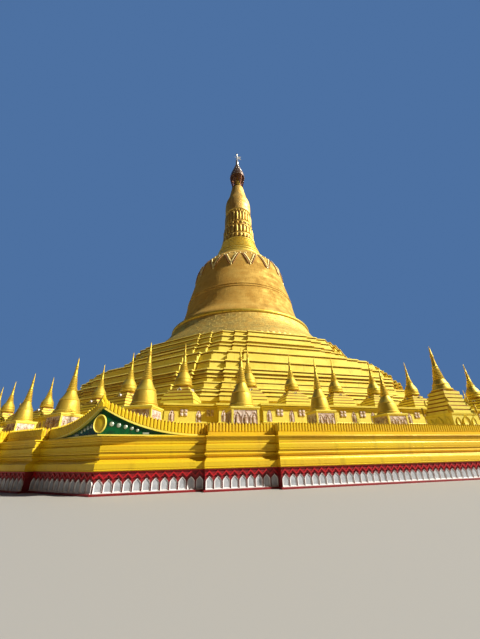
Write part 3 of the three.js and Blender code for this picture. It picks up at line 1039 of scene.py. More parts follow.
@dataclass
class Parapet(Assembly):
    """Parapet of leaves with a swept wing at each end, the corner panels and the crests."""

    face: float = 59.58
    flare: float = 0.88
    thick: float = 0.36
    foot: float = 2.84
    top: float = 3.6
    fascia: float = 0.2
    lip: float = 0.02
    crest_foot: float = 4.28
    crest_top: float = 4.78
    sweep: float = 2.5
    wing_steps: int = 20
    leaf_pitch: float = 0.2
    leaf_tip: float = 0.17
    leaf_thick: float = 0.06
    leaf_lift: float = 0.08
    recess: float = 0.14
    panel_thick: float = 0.16
    edging_thick: float = 0.2
    boss_deep: float = 0.05
    plate_back: float = 2.45
    plate_lift: float = 0.07
    egg_up: float = 3.42
    egg_size: Triple = (0.33, 0.09, 0.43)
    boss_places: tuple[Triple, ...] = (
        (0.6, 3.42, 0.13), (0.97, 3.36, 0.125), (1.33, 3.29, 0.115), (1.67, 3.22, 0.105),
        (1.98, 3.12, 0.09),
    )

    @property
    def wing_start(self) -> float:
        """Place along the side where the wing begins."""
        return self.face * TAN - PLINTH.corner

    @property
    def wing_end(self) -> float:
        """Place along the side of the corner of the face."""
        return (self.face + self.flare) * TAN

    def share(self, along: float) -> float:
        """Share of the way along a wing, from its start to the corner."""
        return max(0.0, min((along - self.wing_start) / (self.wing_end - self.wing_start), 1.0))

    def height(self, along: float, low: float, high: float) -> float:
        """Height of a wing's edge at a place along the side."""
        return low + (high - low) * self.share(along) ** self.sweep

    def lean(self, along: float) -> float:
        """How far a wing leans out at a place along the side."""
        return self.flare * self.share(along)

    def stations(self) -> list[float]:
        """Places along the wing, closer together towards the corner."""
        reach = self.wing_end - self.wing_start
        return [
            self.wing_start + reach * math.sin(math.pi / 2 * i / self.wing_steps)
            for i in range(self.wing_steps + 1)
        ]

    def build(self) -> None:
        """Makes the parapets, panels and crests."""
        self.around("leaf_parapet", self.leaves(), [WALL_GOLD], "parapet")
        # The wall behind the leaves is painted dark: painted shade in the gaps between them.
        self.around("parapet_wall", self.backing(), [PAINTED_SHADE_GOLD])
        self.around("green_panel", self.panel(), [GREEN_GLAZE], "corner_panel")
        self.around("panel_bosses", self.bosses(), [SILVER_GLASS], round_below=60)
        self.around("panel_edging", self.edging(), [PALE_GOLD])
        self.around("panel_medallion", self.medallion(), [WALL_GOLD, PALE_GOLD], round_below=60)
        self.around("crest_leaf", self.crest(), [WALL_GOLD])

    def strip(self, low: Point, high: Point, out: Point) -> Shape:
        """Slab over the right-hand corner strip, cut at the mitre of the corner.

        Args:
            low: Height of its lower edge at the wing's start and at the corner.
            high: Height of its upper edge there.
            out: Its inner and outer faces.

        Returns:
            The slab.
        """
        inner, outer = out
        part = Shape()
        lower, upper = [
            [
                part.bm.verts.new(Vector((u, -inner - self.lean(u), self.height(u, *edge))) * M)
                for u in self.stations()
            ]
            for edge in (low, high)
        ]
        faces = [
            part.bm.faces.new((a, b, d, c))
            for a, b, c, d in zip(lower, lower[1:], upper, upper[1:])
            if (c.co - a.co).length + (d.co - b.co).length > 1e-5
        ]
        front = {vert for face in part.pushed(faces) for vert in face.verts}
        bmesh.ops.translate(part.bm, verts=list(front), vec=(0, -(outer - inner) * M, 0))
        last = max(vert.co.x for vert in part.bm.verts)
        for vert in part.bm.verts:
            if vert.co.x > last - 1e-6:
                vert.co.x = -vert.co.y * TAN
        return part.outward()

    def backing(self) -> Shape:
        """Plain wall behind the leaves of one side, in a dark finish that is painted shade between the
        leaves.
        """
        side, ends = Shape(), Shape()
        rise = (self.foot, self.top - 0.5 * self.leaf_tip)
        for left, right, face in PLINTH.stretches(self.face)[1:4]:
            side.block((left, right), (face - self.thick, face - self.leaf_thick), rise)
        for u, near, far in self.returns():
            ends.block((u - self.thick, u - self.leaf_thick), (near - self.thick, far), rise)
        ends.joined(self.strip(
            (self.foot, self.crest_foot), (rise[1], self.crest_top - 0.5 * self.leaf_tip),
            (self.face - self.thick, self.face - self.leaf_thick),
        ))
        return side.joined(ends.doubled(MIRROR))

    def returns(self) -> list[Triple]:
        """Place along the side, near face and far face of the right-hand returns."""
        stretches = PLINTH.stretches(self.face)
        return [
            (stretches[3][1], stretches[4][2], stretches[3][2]),
            (stretches[2][1], stretches[3][2], stretches[2][2]),
        ]

    def leaf(self, width: float, tall: float) -> bpy.types.Mesh:
        """One pointed leaf of the parapet."""
        shoulder, middle = tall - self.leaf_tip, tall - 0.5 * self.leaf_tip
        half, point = 0.43 * width, 0.28 * width
        outline = mirrored([(half, 0), (half, shoulder), (point, middle), (0, tall)])
        return Shape().relief(outline, self.leaf_thick, rim=0.22 * width, swell=0.04).mesh("leaf")

    def leaves(self) -> Shape:
        """Leaves of one side, on its faces, its returns and its wings."""
        foot = self.foot + self.fascia
        tall = self.top - foot
        unit = self.leaf(self.leaf_pitch, tall)
        side, ends = Shape(), Shape()
        for left, right, face in PLINTH.stretches(self.face)[1:4]:
            places = spread(left, right, self.leaf_pitch)
            side.stamped(unit, [at(u, face - self.leaf_thick, foot) for u in places])
            along = (left - self.lip, right + self.lip)
            side.block(along, (face - self.thick, face + self.lip), (self.foot, foot))
        for u, near, far in self.returns():
            turn = about_z(math.pi / 2)
            places = spread(near, far, self.leaf_pitch)
            ends.stamped(unit, [at(u - self.leaf_thick, place, foot) @ turn for place in places])
            along = (u - self.thick, u + self.lip)
            ends.block(along, (near + self.lip, far - self.thick), (self.foot, foot))
        edge, near = (self.foot, self.crest_foot), self.leaf_pitch / 2
        for u in spread(self.wing_start, self.wing_end, self.leaf_pitch):
            low = self.height(u, *edge)
            high = self.height(u, self.top, self.crest_top)
            shear = Matrix.Identity(4)
            shear[2][0] = (self.height(u + near, *edge) - low) / near
            shear[2][2] = (high - low - self.leaf_lift) / tall
            shear[1][0] = -self.flare / (self.wing_end - self.wing_start)
            out = self.face - self.leaf_thick + self.lean(u)
            ends.stamped(unit, [at(u, out, low + self.leaf_lift) @ shear])
        return side.joined(ends.doubled(MIRROR))

    def panel(self) -> Shape:
        """Green panels of both strips at the right-hand corner."""
        face = self.face - self.recess
        out = (face - self.panel_thick, face)
        half = self.strip((self.foot, self.foot), (self.foot, self.crest_foot), out)
        return half.doubled(ACROSS_CORNER)

    def bosses(self) -> Shape:
        """Row of round bosses and a small plate on each half of the panel."""
        half = Shape()
        for back, up, radius in self.boss_places:
            along = self.wing_end - back
            out = self.face - self.recess + 0.01 + self.lean(along)
            half.ball((radius, self.boss_deep, radius), (along, out, up), 2)
        plate = mirrored([(0.17, 0), (0.17, 0.1)])
        unit = Shape().relief(plate, self.boss_deep).mesh("plate")
        along = self.wing_end - self.plate_back
        place = at(along, self.face - self.recess + self.lean(along), self.foot + self.plate_lift)
        return half.stamped(unit, [place]).doubled(ACROSS_CORNER)

    def edging(self) -> Shape:
        """Pale edge under the swept wing, and the line at the panel's foot."""
        inner = self.face - self.edging_thick
        half = self.strip(
            (self.foot, self.crest_foot - self.lip), (self.foot + 0.1, self.crest_foot + 0.08),
            (inner, self.face + self.lip),
        )
        low, high = self.foot - self.lip, self.foot + 0.05
        half.joined(self.strip((low, low), (high, high), (inner, self.face - self.lip)))
        return half.doubled(ACROSS_CORNER)

    def medallion(self) -> Shape:
        """Egg-shaped medallion on the arris, in its rim."""
        radius = (self.face + self.flare - 0.1) / COS - 0.02
        section = [(0.34, -0.05), (0.38, 0.0), (0.38, 0.08), (0.35, 0.1), (0.32, 0.06), (0.32, -0.06)]
        rim = Shape().hoop(section, 28).tinted().mesh("rim")
        upright = Matrix.Diagonal((0.95, 1, 1.25, 1)) @ Matrix.Rotation(math.pi / 2, 4, "X")
        part = Shape().ball(self.egg_size, (0, radius, self.egg_up), 3)
        part.stamped(rim, [at(0, radius, self.egg_up) @ upright])
        return Shape().stamped(part.mesh("medallion"), [about_z(HALF_SIDE)])

    def crest(self) -> Shape:
        """Flame-shaped leaf that stands on the arris."""
        outline = mirrored([(0.24, 0), (0.27, 0.2), (0.2, 0.38), (0.1, 0.48), (0, 0.7)])
        heart = mirrored([(0.16, 0), (0.19, 0.16), (0, 0.44)])
        part = Shape().relief(outline, 0.14, rim=0.08, swell=0.05)
        part.relief(heart, 0.22, rim=0.05, swell=0.05)
        radius = (self.face + self.flare) / COS - 0.12
        return Shape().stamped(part.mesh("crest"), [at_corner(radius, self.crest_foot)])


def ringed(start: Point, end: Point, count: int) -> list[Point]:
    """Ringed cone.

    Args:
        start: Radius and height of its foot.
        end: Radius and height of its top.
        count: How many rings it has.

    Returns:
        Radius and height of its points, from the bottom up.
    """
    made = []
    tall = (end[1] - start[1]) / count
    for ring in range(count):
        low = start[1] + tall * ring
        radius = start[0] + (end[0] - start[0]) * ring / count
        made += [
            (radius, low), (radius * RING_OUT, low + tall / 2),
            (radius * RING_IN, low + tall - RING_SEAM),
        ]
    return made


def grooved_courses(curve: Sequence[Point], course: float, groove: float) -> Shape:
    """Square courses that follow a curve, each with a groove over it in a dark finish that is painted
    shade.

    Args:
        curve: Height and half width along it, from the bottom up.
        course: Height of one course, about.
        groove: Height and depth of the groove.

    Returns:
        The courses, with their grooves in the second finish, which is painted shade.
    """
    foot, end = curve[0][0], curve[-1][0]
    count = max(1, round((end - foot) / course))
    levels = [foot + (end - foot) * i / count for i in range(count + 1)]
    # The grooves are kept apart so they take the dark second finish: painted shade.
    shape, dark = Shape(), Shape()
    for low, high in zip(levels, levels[1:]):
        half = value_at(curve, (low + high) / 2)
        shape.squared([(half, low), (half, high - groove)])
        dark.squared([(half - groove, high - groove - 0.02), (half - groove, high)])
    return shape.joined(dark.tinted())


@dataclass(frozen=True)
class Row:
    """A row of small stupas along one side, on its bench. Lengths are real metres.

    Attributes:
        face: How far out it stands.
        floor: Height of the top of its bench.
        places: Place along the side, width factor and height factor, on both sides alike.
        corner: Radius, width factor and height factor of the one at the corner.
        deep: Depth of the bench.
        ends: How far the bench runs to the left and to the right.
        tall: Height of the bench.
        lip: Height and reach of the lip round its top.
        chamfer: Width of the chamfer on the lip.
    """

    face: float
    floor: float
    places: tuple[Triple, ...]
    corner: Triple
    deep: float
    ends: Point
    tall: float
    lip: Point = (0.06, 0.04)
    chamfer: float = 0.02

    def spots(self) -> list[Matrix]:
        """Places of the stupas with their sizes, the corner one last."""
        spots = [
            at(side * along, self.face, self.floor) @ Matrix.Diagonal((width, width, tall, 1))
            for along, width, tall in self.places for side in (-1, 1)
        ]
        radius, width, tall = self.corner
        return [*spots, at_corner(radius, self.floor) @ Matrix.Diagonal((width, width, tall, 1))]

    def bench(self) -> Shape:
        """Bench under the row, with a lip round its top."""
        along = (-self.ends[0], self.ends[1])
        near, far = self.face - self.deep / 2, self.face + self.deep / 2
        seam = self.floor - self.lip[0]
        shape = Shape().block(along, (near, far), (self.floor - self.tall, seam))
        return shape.block(along, (near, far + self.lip[1]), (seam, self.floor), self.chamfer)


@dataclass
class SmallStupas(Assembly):
    """The two rows of small stupas on the ledges, and the larger one of the south side."""

    lower: Row = Row(
        face=57.0, floor=3.4, deep=2.3, ends=(17.6, 22.9), tall=0.4, corner=(60.2, 1.0, 1.0),
        places=((3.25, 0.92, 0.78), (9.65, 0.8, 0.87), (16.1, 0.98, 0.93)),
    )
    upper: Row = Row(
        face=48.8, floor=6.2, deep=3.6, ends=(14.9, 20.6), tall=0.25, corner=(51.5, 1.16, 1.16),
        places=((2.6, 1.0, 1.0), (8.05, 1.0, 1.02), (13.0, 1.12, 1.13)),
    )
    large_place: float = 3.25
    plinth_tall: float = 1.6
    plinth_half: float = 0.98
    round_below: float = 40
    steps: int = 20

    def build(self) -> None:
        """Makes both rows and the large stupa."""
        large = at(self.large_place, self.lower.face, self.lower.floor)
        row = self.lower.spots()
        south = [spot for spot in row if (spot.translation - large.translation).length > M]
        self.lower_row("lower_bells", self.lower_bell(), row, south, [CAST_GILT])
        self.lower_row("relief_plinths", self.relief_plinth(), row, south, [PINK_PLASTER])
        self.lower_row("plinth_mouldings", self.plinth_moulding(), row, south, [PALE_GOLD])
        self.around("lower_bench", self.lower.bench(), [PALE_GOLD])
        row = self.upper.spots()
        units = [
            ("upper_bells", self.upper_bell(), [CAST_GILT], "upper_stupas"),
            ("upper_steps", self.upper_steps(), [PALE_GOLD, PAINTED_SHADE_GOLD], ""),
            ("upper_dormers", self.dormers(), [WHITE_PLASTER, GREY_RECESS], ""),
        ]
        for name, unit, finishes, node in units:
            side = Shape().stamped(unit.mesh(name), row)
            self.around(name, side, finishes, node, self.round_below)
        self.around("upper_bench", self.upper.bench(), [PALE_GOLD])
        LargeStupa(large).build()

    def lower_row(
        self, name: str, unit: Shape, row: Sequence[Matrix], south: Sequence[Matrix],
        finishes: Sequence[Finish],
    ) -> None:
        """Places a part of the lower stupas on all sides; the south side has one fewer."""
        mesh = unit.mesh(name)
        for side in Side:
            places = south if side is Side.SOUTH else row
            shape = Shape().stamped(mesh, [side.turn @ place for place in places])
            nodes = [f"lower_stupas_{side.label}"] if name == "lower_bells" else []
            self.place(f"{name}_{side.label}", shape, finishes, nodes, round_below=self.round_below)

    def lower_bell(self) -> Shape:
        """Flared bell with bands, a ringed cone, bead and spike, on top of its plinth."""
        body = [
            (0.96, 0.0), (1.02, 0.05), (1.0, 0.12), (0.94, 0.15), (0.97, 0.21), (0.95, 0.28),
            (0.9, 0.32), (0.88, 0.5), (0.84, 0.72), (0.8, 0.95), (0.74, 1.14), (0.76, 1.18),
            (0.73, 1.23), (0.64, 1.36), (0.55, 1.52), (0.48, 1.68), (0.42, 1.84), (0.37, 1.98),
            (0.41, 2.03), (0.41, 2.08), (0.34, 2.12), (0.38, 2.17), (0.38, 2.22), (0.31, 2.27),
        ]
        rings = ringed((0.32, 2.3), (0.2, 3.15), 5)
        tip = [
            (0.17, 3.18), (0.21, 3.26), (0.17, 3.34), (0.14, 3.42), (0.16, 3.55), (0.13, 3.75),
            (0.1, 3.95), (0.14, 4.02), (0.1, 4.1), (0.13, 4.2), (0.08, 4.28), (0.06, 4.6),
            (0.04, 4.85), (0.0, 5.08),
        ]
        points = [(r, z + self.plinth_tall) for r, z in [*body, *rings, *tip]]
        return Shape().turned(points, self.steps)

    def relief_plinth(self) -> Shape:
        """Die of the square plinth with arched panels and small figures in them."""
        die = (-self.plinth_half, self.plinth_half)
        shape = Shape().block(die, die, (0.1, 1.5))
        panel = pointed_arch(0.52, 0.5, 0.86, 2)
        arch = Shape().relief(panel, 0.06, rim=0.07, swell=-0.05).mesh("arch")
        figure = Shape().turned([(0.13, 0), (0.1, 0.3), (0.13, 0.42), (0.05, 0.48)], 6)
        figure.ball((0.075, 0.075, 0.09), (0, 0, 0.56))
        lump = figure.mesh("figure")
        face = Shape()
        for u in (-0.62, 0.0, 0.62):
            face.stamped(arch, [at(u, self.plinth_half, 0.38)])
            face.stamped(lump, [at(u, 1.0, 0.42)])
        return shape.stamped(face.mesh("plinth_face"), all_round(4))

    def plinth_moulding(self) -> Shape:
        """Base, cornice and corner posts of the square plinth."""
        shape = Shape().squared([(1.12, 0), (1.12, 0.16), (1.06, 0.2), (1.06, 0.3), (1.0, 0.34)])
        shape.squared([(1.0, 1.36), (1.05, 1.4), (1.05, 1.44), (1.1, 1.48), (1.1, 1.58), (1.04, 1.61)])
        post = Shape().block((0.88, 1.03), (0.88, 1.03), (0.3, 1.4)).mesh("post")
        return shape.stamped(post, all_round(4))

    def upper_steps(self) -> Shape:
        """Square banded base of an upper stupa, drawn in on a hollow curve; its grooves carry painted
        shade.
        """
        shape = Shape().squared([(1.46, 0), (1.46, 0.14), (1.4, 0.18), (1.4, 0.24)])
        curve = [(0.24, 1.4), (0.5, 1.42), (0.95, 1.28), (1.3, 0.98), (1.5, 0.8), (1.74, 0.66)]
        return shape.joined(grooved_courses(curve, 0.3, 0.1))

    def upper_bell(self) -> Shape:
        """Bell with its bands, ringed cone and spire of an upper stupa."""
        skirt = [
            (0.6, 1.72), (0.66, 1.76), (0.66, 1.82), (0.8, 1.87), (0.83, 1.95), (0.79, 2.02),
            (0.74, 2.05), (0.77, 2.1), (0.76, 2.3), (0.72, 2.42), (0.74, 2.47), (0.71, 2.53),
            (0.66, 2.62), (0.58, 2.82), (0.46, 3.0), (0.38, 3.14), (0.41, 3.19), (0.38, 3.25),
        ]
        rings = ringed((0.35, 3.28), (0.2, 3.96), 4)
        tip = [
            (0.17, 4.0), (0.21, 4.08), (0.16, 4.16), (0.14, 4.3), (0.15, 4.42), (0.12, 4.6),
            (0.09, 4.75), (0.13, 4.83), (0.09, 4.9), (0.12, 5.0), (0.07, 5.08), (0.06, 5.4),
            (0.04, 5.8), (0.0, 6.02),
        ]
        return Shape().turned([*skirt, *rings, *tip], self.steps)

    def dormers(self) -> Shape:
        """Small white niche near the top of each face of an upper stupa's base."""
        arch = pointed_arch(0.3, 0.2, 0.38, 2)
        unit = Shape().relief(arch, 0.42, rim=0.07, swell=-0.1, inner_finish=1).mesh("dormer")
        return Shape().stamped(unit, all_round(4, at(0, 0.56, 1.2)))


@dataclass
class LargeStupa(Assembly):
    """The larger banded stupa that stands in the lower row of the south side."""

    spot: Matrix
    face: float = 1.32
    steps: int = 24

    def build(self) -> None:
        """Makes its base, ornaments and bell."""
        self.put("large_stupa_steps", self.stepped(), [PALE_GOLD, PAINTED_SHADE_GOLD], ["large_stupa"])
        self.put("large_stupa_flames", self.flames(), [CAST_GILT])
        self.put("large_stupa_bell", self.bell(), [CAST_GILT])

    def put(
        self, name: str, shape: Shape, finishes: Sequence[Finish], replaced: Sequence[str] = ()
    ) -> None:
        """Places one of its parts."""
        mesh = shape.mesh(name)
        mesh.transform(self.spot)
        self.place(name, mesh, finishes, replaced, round_below=40)

    def stepped(self) -> Shape:
        """Square banded base, drawn in upward, with a pediment on each face; its grooves carry painted
        shade.
        """
        shape = Shape().squared([
            (1.42, 0), (1.42, 0.12), (1.34, 0.18), (1.34, 1.14), (1.4, 1.2), (1.42, 1.35),
        ])
        curve = [(1.35, 1.34), (1.9, 1.22), (2.3, 1.1), (2.9, 0.98), (3.4, 0.84)]
        shape.joined(grooved_courses(curve, 0.34, 0.12))
        arch = pointed_arch(0.7, 0.5, 0.92, 3)
        door = Shape().relief(arch, 0.14, rim=0.1, swell=-0.08).mesh("door")
        small = Shape().relief(pointed_arch(0.4, 0.4, 0.7, 2), 0.1, rim=0.06, swell=-0.05).mesh("niche")
        face = Shape().stamped(door, [at(0, self.face, 0.2)])
        face.stamped(small, [at(-0.85, self.face, 0.3), at(0.85, self.face, 0.3)])
        return shape.stamped(face.mesh("base_face"), all_round(4))

    def flames(self) -> Shape:
        """Flame ornaments on the corners of the base."""
        outline = mirrored([
            (0.2, 0), (0.25, 0.26), (0.15, 0.42), (0.17, 0.56), (0.07, 0.66), (0, 0.86),
        ])
        unit = Shape().relief(outline, 0.12, rim=0.05, swell=0.04).mesh("flame")
        shape = Shape()
        for out, up, scale in ((1.932, 1.33, 0.9), (1.6008, 2.2, 0.6)):
            size = Matrix.Diagonal((scale, scale, scale, 1))
            shape.stamped(unit, all_round(4, at(0, out, up) @ size, 0.5))
        return shape

    def bell(self) -> Shape:
        """Round bell and spire."""
        body = [
            (0.84, 3.4), (0.9, 3.44), (0.92, 3.5), (0.88, 3.56), (0.77, 3.6), (0.74, 3.76),
            (0.67, 3.95), (0.71, 4.0), (0.66, 4.07), (0.58, 4.22), (0.5, 4.42),
        ]
        rings = ringed((0.47, 4.48), (0.27, 5.6), 7)
        tip = [
            (0.24, 5.64), (0.28, 5.74), (0.21, 5.85), (0.2, 6.0), (0.17, 6.3), (0.13, 6.66),
            (0.18, 6.76), (0.12, 6.86), (0.15, 6.96), (0.09, 7.06), (0.07, 7.5), (0.0, 7.88),
        ]
        return Shape().turned([*body, *rings, *tip], self.steps)


@dataclass
class SecondWall(Assembly):
    """Second redented wall with its small reliefs."""

    course: tuple[Point, ...] = (
        (3.0, 51.98), (3.3, 51.98), (3.35, 51.9), (4.3, 51.88), (5.5, 51.86), (5.95, 51.9),
    )
    lines: tuple[Line, ...] = (
        Line(4.36, 0.1, 0.08), Line(5.55, 0.06, 0.1, Mark.FILLET), Line(5.68, 0.14, 0.18),
        Line(5.85, 0.16, 0.3, Mark.FILLET),
    )
    relief_face: float = 51.87
    group_pitch: float = 2.1

    def build(self) -> None:
        """Makes the wall and its reliefs."""
        shape = Shape().redented(LEDGE, moulded(self.course, self.lines))
        self.place("second_wall_moulding", shape, [PALE_GOLD], ["second_wall"])
        self.around("wall_reliefs", self.reliefs(), [PINK_PLASTER], round_below=40)

    def reliefs(self) -> Shape:
        """Standing figures and pairs of plaques along one side."""
        figure = Shape().turned(
            [(0.1, 0), (0.13, 0.06), (0.1, 0.36), (0.14, 0.58), (0.09, 0.68), (0.04, 0.72)], 6,
        )
        figure.ball((0.08, 0.08, 0.1), (0, 0, 0.8))
        figure.relief(pointed_arch(0.46, 0.6, 1.05, 2), 0.04, rim=0.05, swell=-0.03)
        standing = figure.mesh("standing_figure")
        square = mirrored([(0.13, 0), (0.13, 0.26)])
        plaque = Shape().relief(square, 0.06, rim=0.05, swell=0.04).mesh("plaque")
        side = Shape()
        for left, right, face in LEDGE.stretches(self.relief_face):
            for u in spread(left, right, self.group_pitch):
                side.stamped(standing, [at(u - 0.5, face, 4.42)])
                places = [(u + 0.3, 4.9), (u + 0.66, 4.9), (u + 0.3, 5.2), (u + 0.66, 5.2)]
                side.stamped(plaque, [at(x, face, z) for x, z in places])
        return side


@dataclass
class Terraces(Assembly):
    """Five stepped terraces of redented plan."""

    courses: tuple[tuple[Point, ...], ...] = (
        (
            (5.95, 41.9), (7.2, 41.8), (8.05, 40.62), (8.2, 40.66), (8.75, 41.02), (9.3, 40.98),
            (10.05, 39.62), (10.2, 39.45),
        ),
        ((10.2, 39.38), (10.95, 39.42), (12.1, 37.88), (12.6, 37.76), (13.3, 37.8)),
        ((13.3, 37.8), (14.3, 36.68), (15.3, 36.48), (16.85, 34.72), (17.2, 34.4)),
        ((17.2, 31.7), (18.3, 31.25), (20.2, 29.66), (21.6, 28.1)),
        ((21.6, 28.0), (22.6, 27.85), (24.1, 26.85)),
    )
    treads: tuple[tuple[Point, ...], ...] = (
        ((6.3, 0.08), (7.15, 0.16), (8.1, 0.0), (8.95, 0.12), (9.65, 0.14), (10.2, 0.16)),
        ((10.95, 0.08), (12.2, 0.16), (12.9, 0.3), (13.3, 0.14)),
        ((14.3, 0.0), (15.0, 0.18), (16.1, 0.0), (17.2, 0.18)),
        ((18.35, 0.1), (19.3, 0.0), (20.25, 0.2), (21.6, 0.28)),
        ((22.85, 0.18), (24.1, 0.16)),
    )
    lip_tall: float = 0.1
    groove: float = 0.13
    groove_deep: float = 0.1

    def build(self) -> None:
        """Makes the terraces."""
        for number, (course, treads) in enumerate(zip(self.courses, self.treads), start=1):
            shape = Shape().redented(TERRACE, self.stepped(course, treads))
            # Faces under the lips and in the grooves take the darker second finish: painted shade.
            shape.tinted(lambda face: self.shaded(face, treads))
            finishes = [TERRACE_GOLD, TERRACE_PAINTED_SHADE]
            self.place(f"terrace_mouldings_{number}", shape, finishes, [f"terrace_{number}"])

    def stepped(
        self, course: Sequence[Point], treads: Sequence[Point]
    ) -> list[Triple]:
        """Levels of a terrace in upright risers, each with a groove and a lip sloped on top.

        Args:
            course: Height and apothem of the line through the edges of the treads.
            treads: Height of each tread and how far its lip stands out, from the bottom up.

        Returns:
            Height, apothem and relief of each level.
        """
        levels = []
        floor = course[0][0]
        for top, reach in treads:
            face = value_at(course, top)
            levels.append((floor, face, 0.0))
            if reach:
                lip = top - self.lip_tall - reach
                low = lip - self.groove
                levels += [
                    (low, face, 0.0), (low, face, -self.groove_deep), (lip, face, -self.groove_deep),
                    (lip, face, reach), (lip + self.lip_tall, face, reach),
                ]
            levels.append((top, face, 0.0))
            floor = top
        return levels

    def shaded(self, face: bmesh.types.BMFace, treads: Sequence[Point]) -> bool:
        """True for a face under a lip or in the groove below it; such faces get painted shade."""
        up = face.calc_center_median().z / M
        lips = [top - self.lip_tall - reach for top, reach in treads if reach]
        in_groove = any(lip - self.groove < up < lip for lip in lips)
        return face.normal.z < -0.3 or (abs(face.normal.z) < 0.1 and in_groove)


@dataclass
class RoundBody(Assembly):
    """Drum, rim, bell with its garlands, ringed neck, lotus bands and banana bud."""

    foot: tuple[Point, ...] = (
        (25.6, 24.1), (25.8, 24.2), (25.8, 24.5), (25.6, 24.7), (25.45, 24.8), (25.45, 25.1),
    )
    drum: tuple[Point, ...] = (
        (25.45, 25.2), (24.9, 25.7), (23.85, 27.0), (22.8, 28.1), (21.9, 29.1), (21.0, 30.3),
        (20.45, 31.3), (20.0, 32.2), (19.8, 32.6),
    )
    rim: tuple[Point, ...] = (
        (19.6, 32.6), (19.85, 32.68), (20.0, 32.85), (20.05, 33.1), (20.0, 33.35), (19.75, 33.5),
        (19.45, 33.6), (19.4, 33.7), (19.2, 33.76), (19.0, 33.9),
    )
    bell: tuple[Point, ...] = (
        (18.9, 33.9), (18.6, 34.6), (17.35, 36.5), (16.55, 39.0), (16.0, 42.0), (15.4, 45.0),
        (14.6, 48.0), (14.0, 50.5), (13.7, 52.5), (13.3, 54.0), (12.7, 55.1), (12.0, 56.1),
        (11.3, 57.1), (10.2, 58.1), (10.0, 58.4),
    )
    neck: tuple[Point, ...] = (
        (9.9, 58.4), (9.2, 59.2), (8.3, 60.0), (7.6, 61.0), (7.15, 62.5), (6.65, 64.0), (5.9, 65.9),
        (5.6, 67.5),
    )
    neck_lines: tuple[float, ...] = (58.4, 59.5, 60.4, 61.45, 62.6, 63.4, 64.2, 65.0, 65.8, 66.6, 67.5)
    bud: tuple[Point, ...] = (
        (4.5, 81.7), (4.55, 82.6), (4.6, 84.0), (4.5, 86.0), (4.3, 87.2), (4.05, 88.1),
        (3.6, 89.2), (3.25, 90.2), (2.85, 92.0), (2.45, 94.0), (2.15, 95.4),
    )
    bell_rolls: tuple[Line, ...] = (
        Line(42.4, 0.3, 0.14), Line(43.15, 0.3, 0.14), Line(56.3, 0.3, 0.12),
    )
    scallop_count: int = 120
    ring_bulge: float = 0.3
    ring_fullness: float = 0.7
    ring_steps: int = 6
    groove: float = 0.22
    groove_deep: float = 0.08
    garlands: int = 16
    garland_rise: Point = (51.1, 55.1)
    garland_spread: float = 0.3
    garland_steps: int = 9
    garland_first: float = -1 / 9
    strand_drop: float = 0.1
    strand_turn: float = 0.1
    drop_below: float = 0.4
    swag_up: float = 55.7
    steps: int = 128
    neck_steps: int = 96
    band_steps: int = 64

    def build(self) -> None:
        """Makes the round body from the bottom up."""
        drum = Shape().turned([*self.foot, *curve_through(self.drum, 3)], self.steps)
        rim = Shape().turned(self.rim, self.steps)
        bud = Shape().turned(curve_through(self.bud, 4), self.band_steps)
        for name, shape, finishes, nodes, round_below in (
            ("flared_drum", drum, [DRUM_GILT], ["drum"], 35),
            ("drum_scallops", self.scallops(), [DRUM_GILT], [], 35),
            ("bell_rim_roll", rim, [CAST_GILT], ["bell_rim"], 35),
            ("bell_body", self.bell_shape(), [BELL_GILT], ["bell"], 35),
            ("bell_garlands", self.garland_beads(), [PAINTED_LIGHT_GILT, PAINTED_SHADE_GILT], [], 60),
            ("neck_rings", self.neck_shape(), [NECK_GILT, PAINTED_SHADE_GILT], ["ringed_neck"], 35),
            ("lotus_lower", self.lotus_lower(), [LOTUS_GILT, PAINTED_SHADE_GILT], ["lower_lotus_band"], 50),
            ("lotus_upper", self.lotus_upper(), [LOTUS_GILT, PAINTED_SHADE_GILT], ["upper_lotus_band"], 50),
            ("bud_body", bud, [BUD_GILT], ["banana_bud"], 35),
        ):
            self.place(name, shape, finishes, nodes, round_below=round_below)

    def scallops(self) -> Shape:
        """Upright petals where the drum meets the terraces."""
        unit = Shape().relief(pointed_arch(1.2, 0.3, 0.75, 2), 0.18, rim=0.16, swell=0.08)
        places = all_round(self.scallop_count, at(0, 25.35, 24.75))
        return Shape().stamped(unit.mesh("scallop"), places)

    def bell_shape(self) -> Shape:
        """Bell with a double band half way up."""
        curve = curve_through(self.bell, 4)
        rolls = self.bell_rolls
        points = [(r, z) for r, z in curve if all(abs(z - roll.up) > roll.tall for roll in rolls)]
        for roll in rolls:
            points += [(value_at(by_height(curve), z) + reach, z) for z, reach in roll.shape()]
        return Shape().turned(sorted(points, key=lambda point: point[1]), self.steps)

    def garland_beads(self) -> Shape:
        """Hanging V-shaped garlands round the shoulder, a dark strand of painted shade outside a light
        strand of painted light.
        """
        curve = by_height(curve_through(self.bell, 4))
        bead = Shape().ball((0.32, 0.22, 0.32), (0, 0, 0)).mesh("bead")
        dark = Shape().ball((0.32, 0.22, 0.32), (0, 0, 0)).tinted().mesh("dark_bead")
        drop = Shape().ball((0.3, 0.18, 0.55), (0, 0, 0)).mesh("drop")
        low, top = self.garland_rise
        pitch = math.tau / self.garlands
        hung = low - self.drop_below
        garland = Shape().stamped(drop, [at(0, value_at(curve, hung) + 0.08, hung)])
        for strand, unit in enumerate((bead, dark)):
            for i in range(self.garland_steps + 1):
                share = i / self.garland_steps
                up = top + (low - top) * share - self.strand_drop * strand
                turn = pitch * (self.garland_spread * (1 - share) + self.strand_turn * strand)
                place = at(0, value_at(curve, up) + 0.08, up)
                garland.stamped(unit, [about_z(turn) @ place, about_z(-turn) @ place])
        places = all_round(self.garlands, first=self.garland_first)
        shape = Shape().stamped(garland.mesh("garland"), places)
        swag = at(0, value_at(curve, self.swag_up) + 0.05, self.swag_up)
        return shape.stamped(bead, all_round(self.garlands * 3, swag, 0.5 + 3 * self.garland_first))

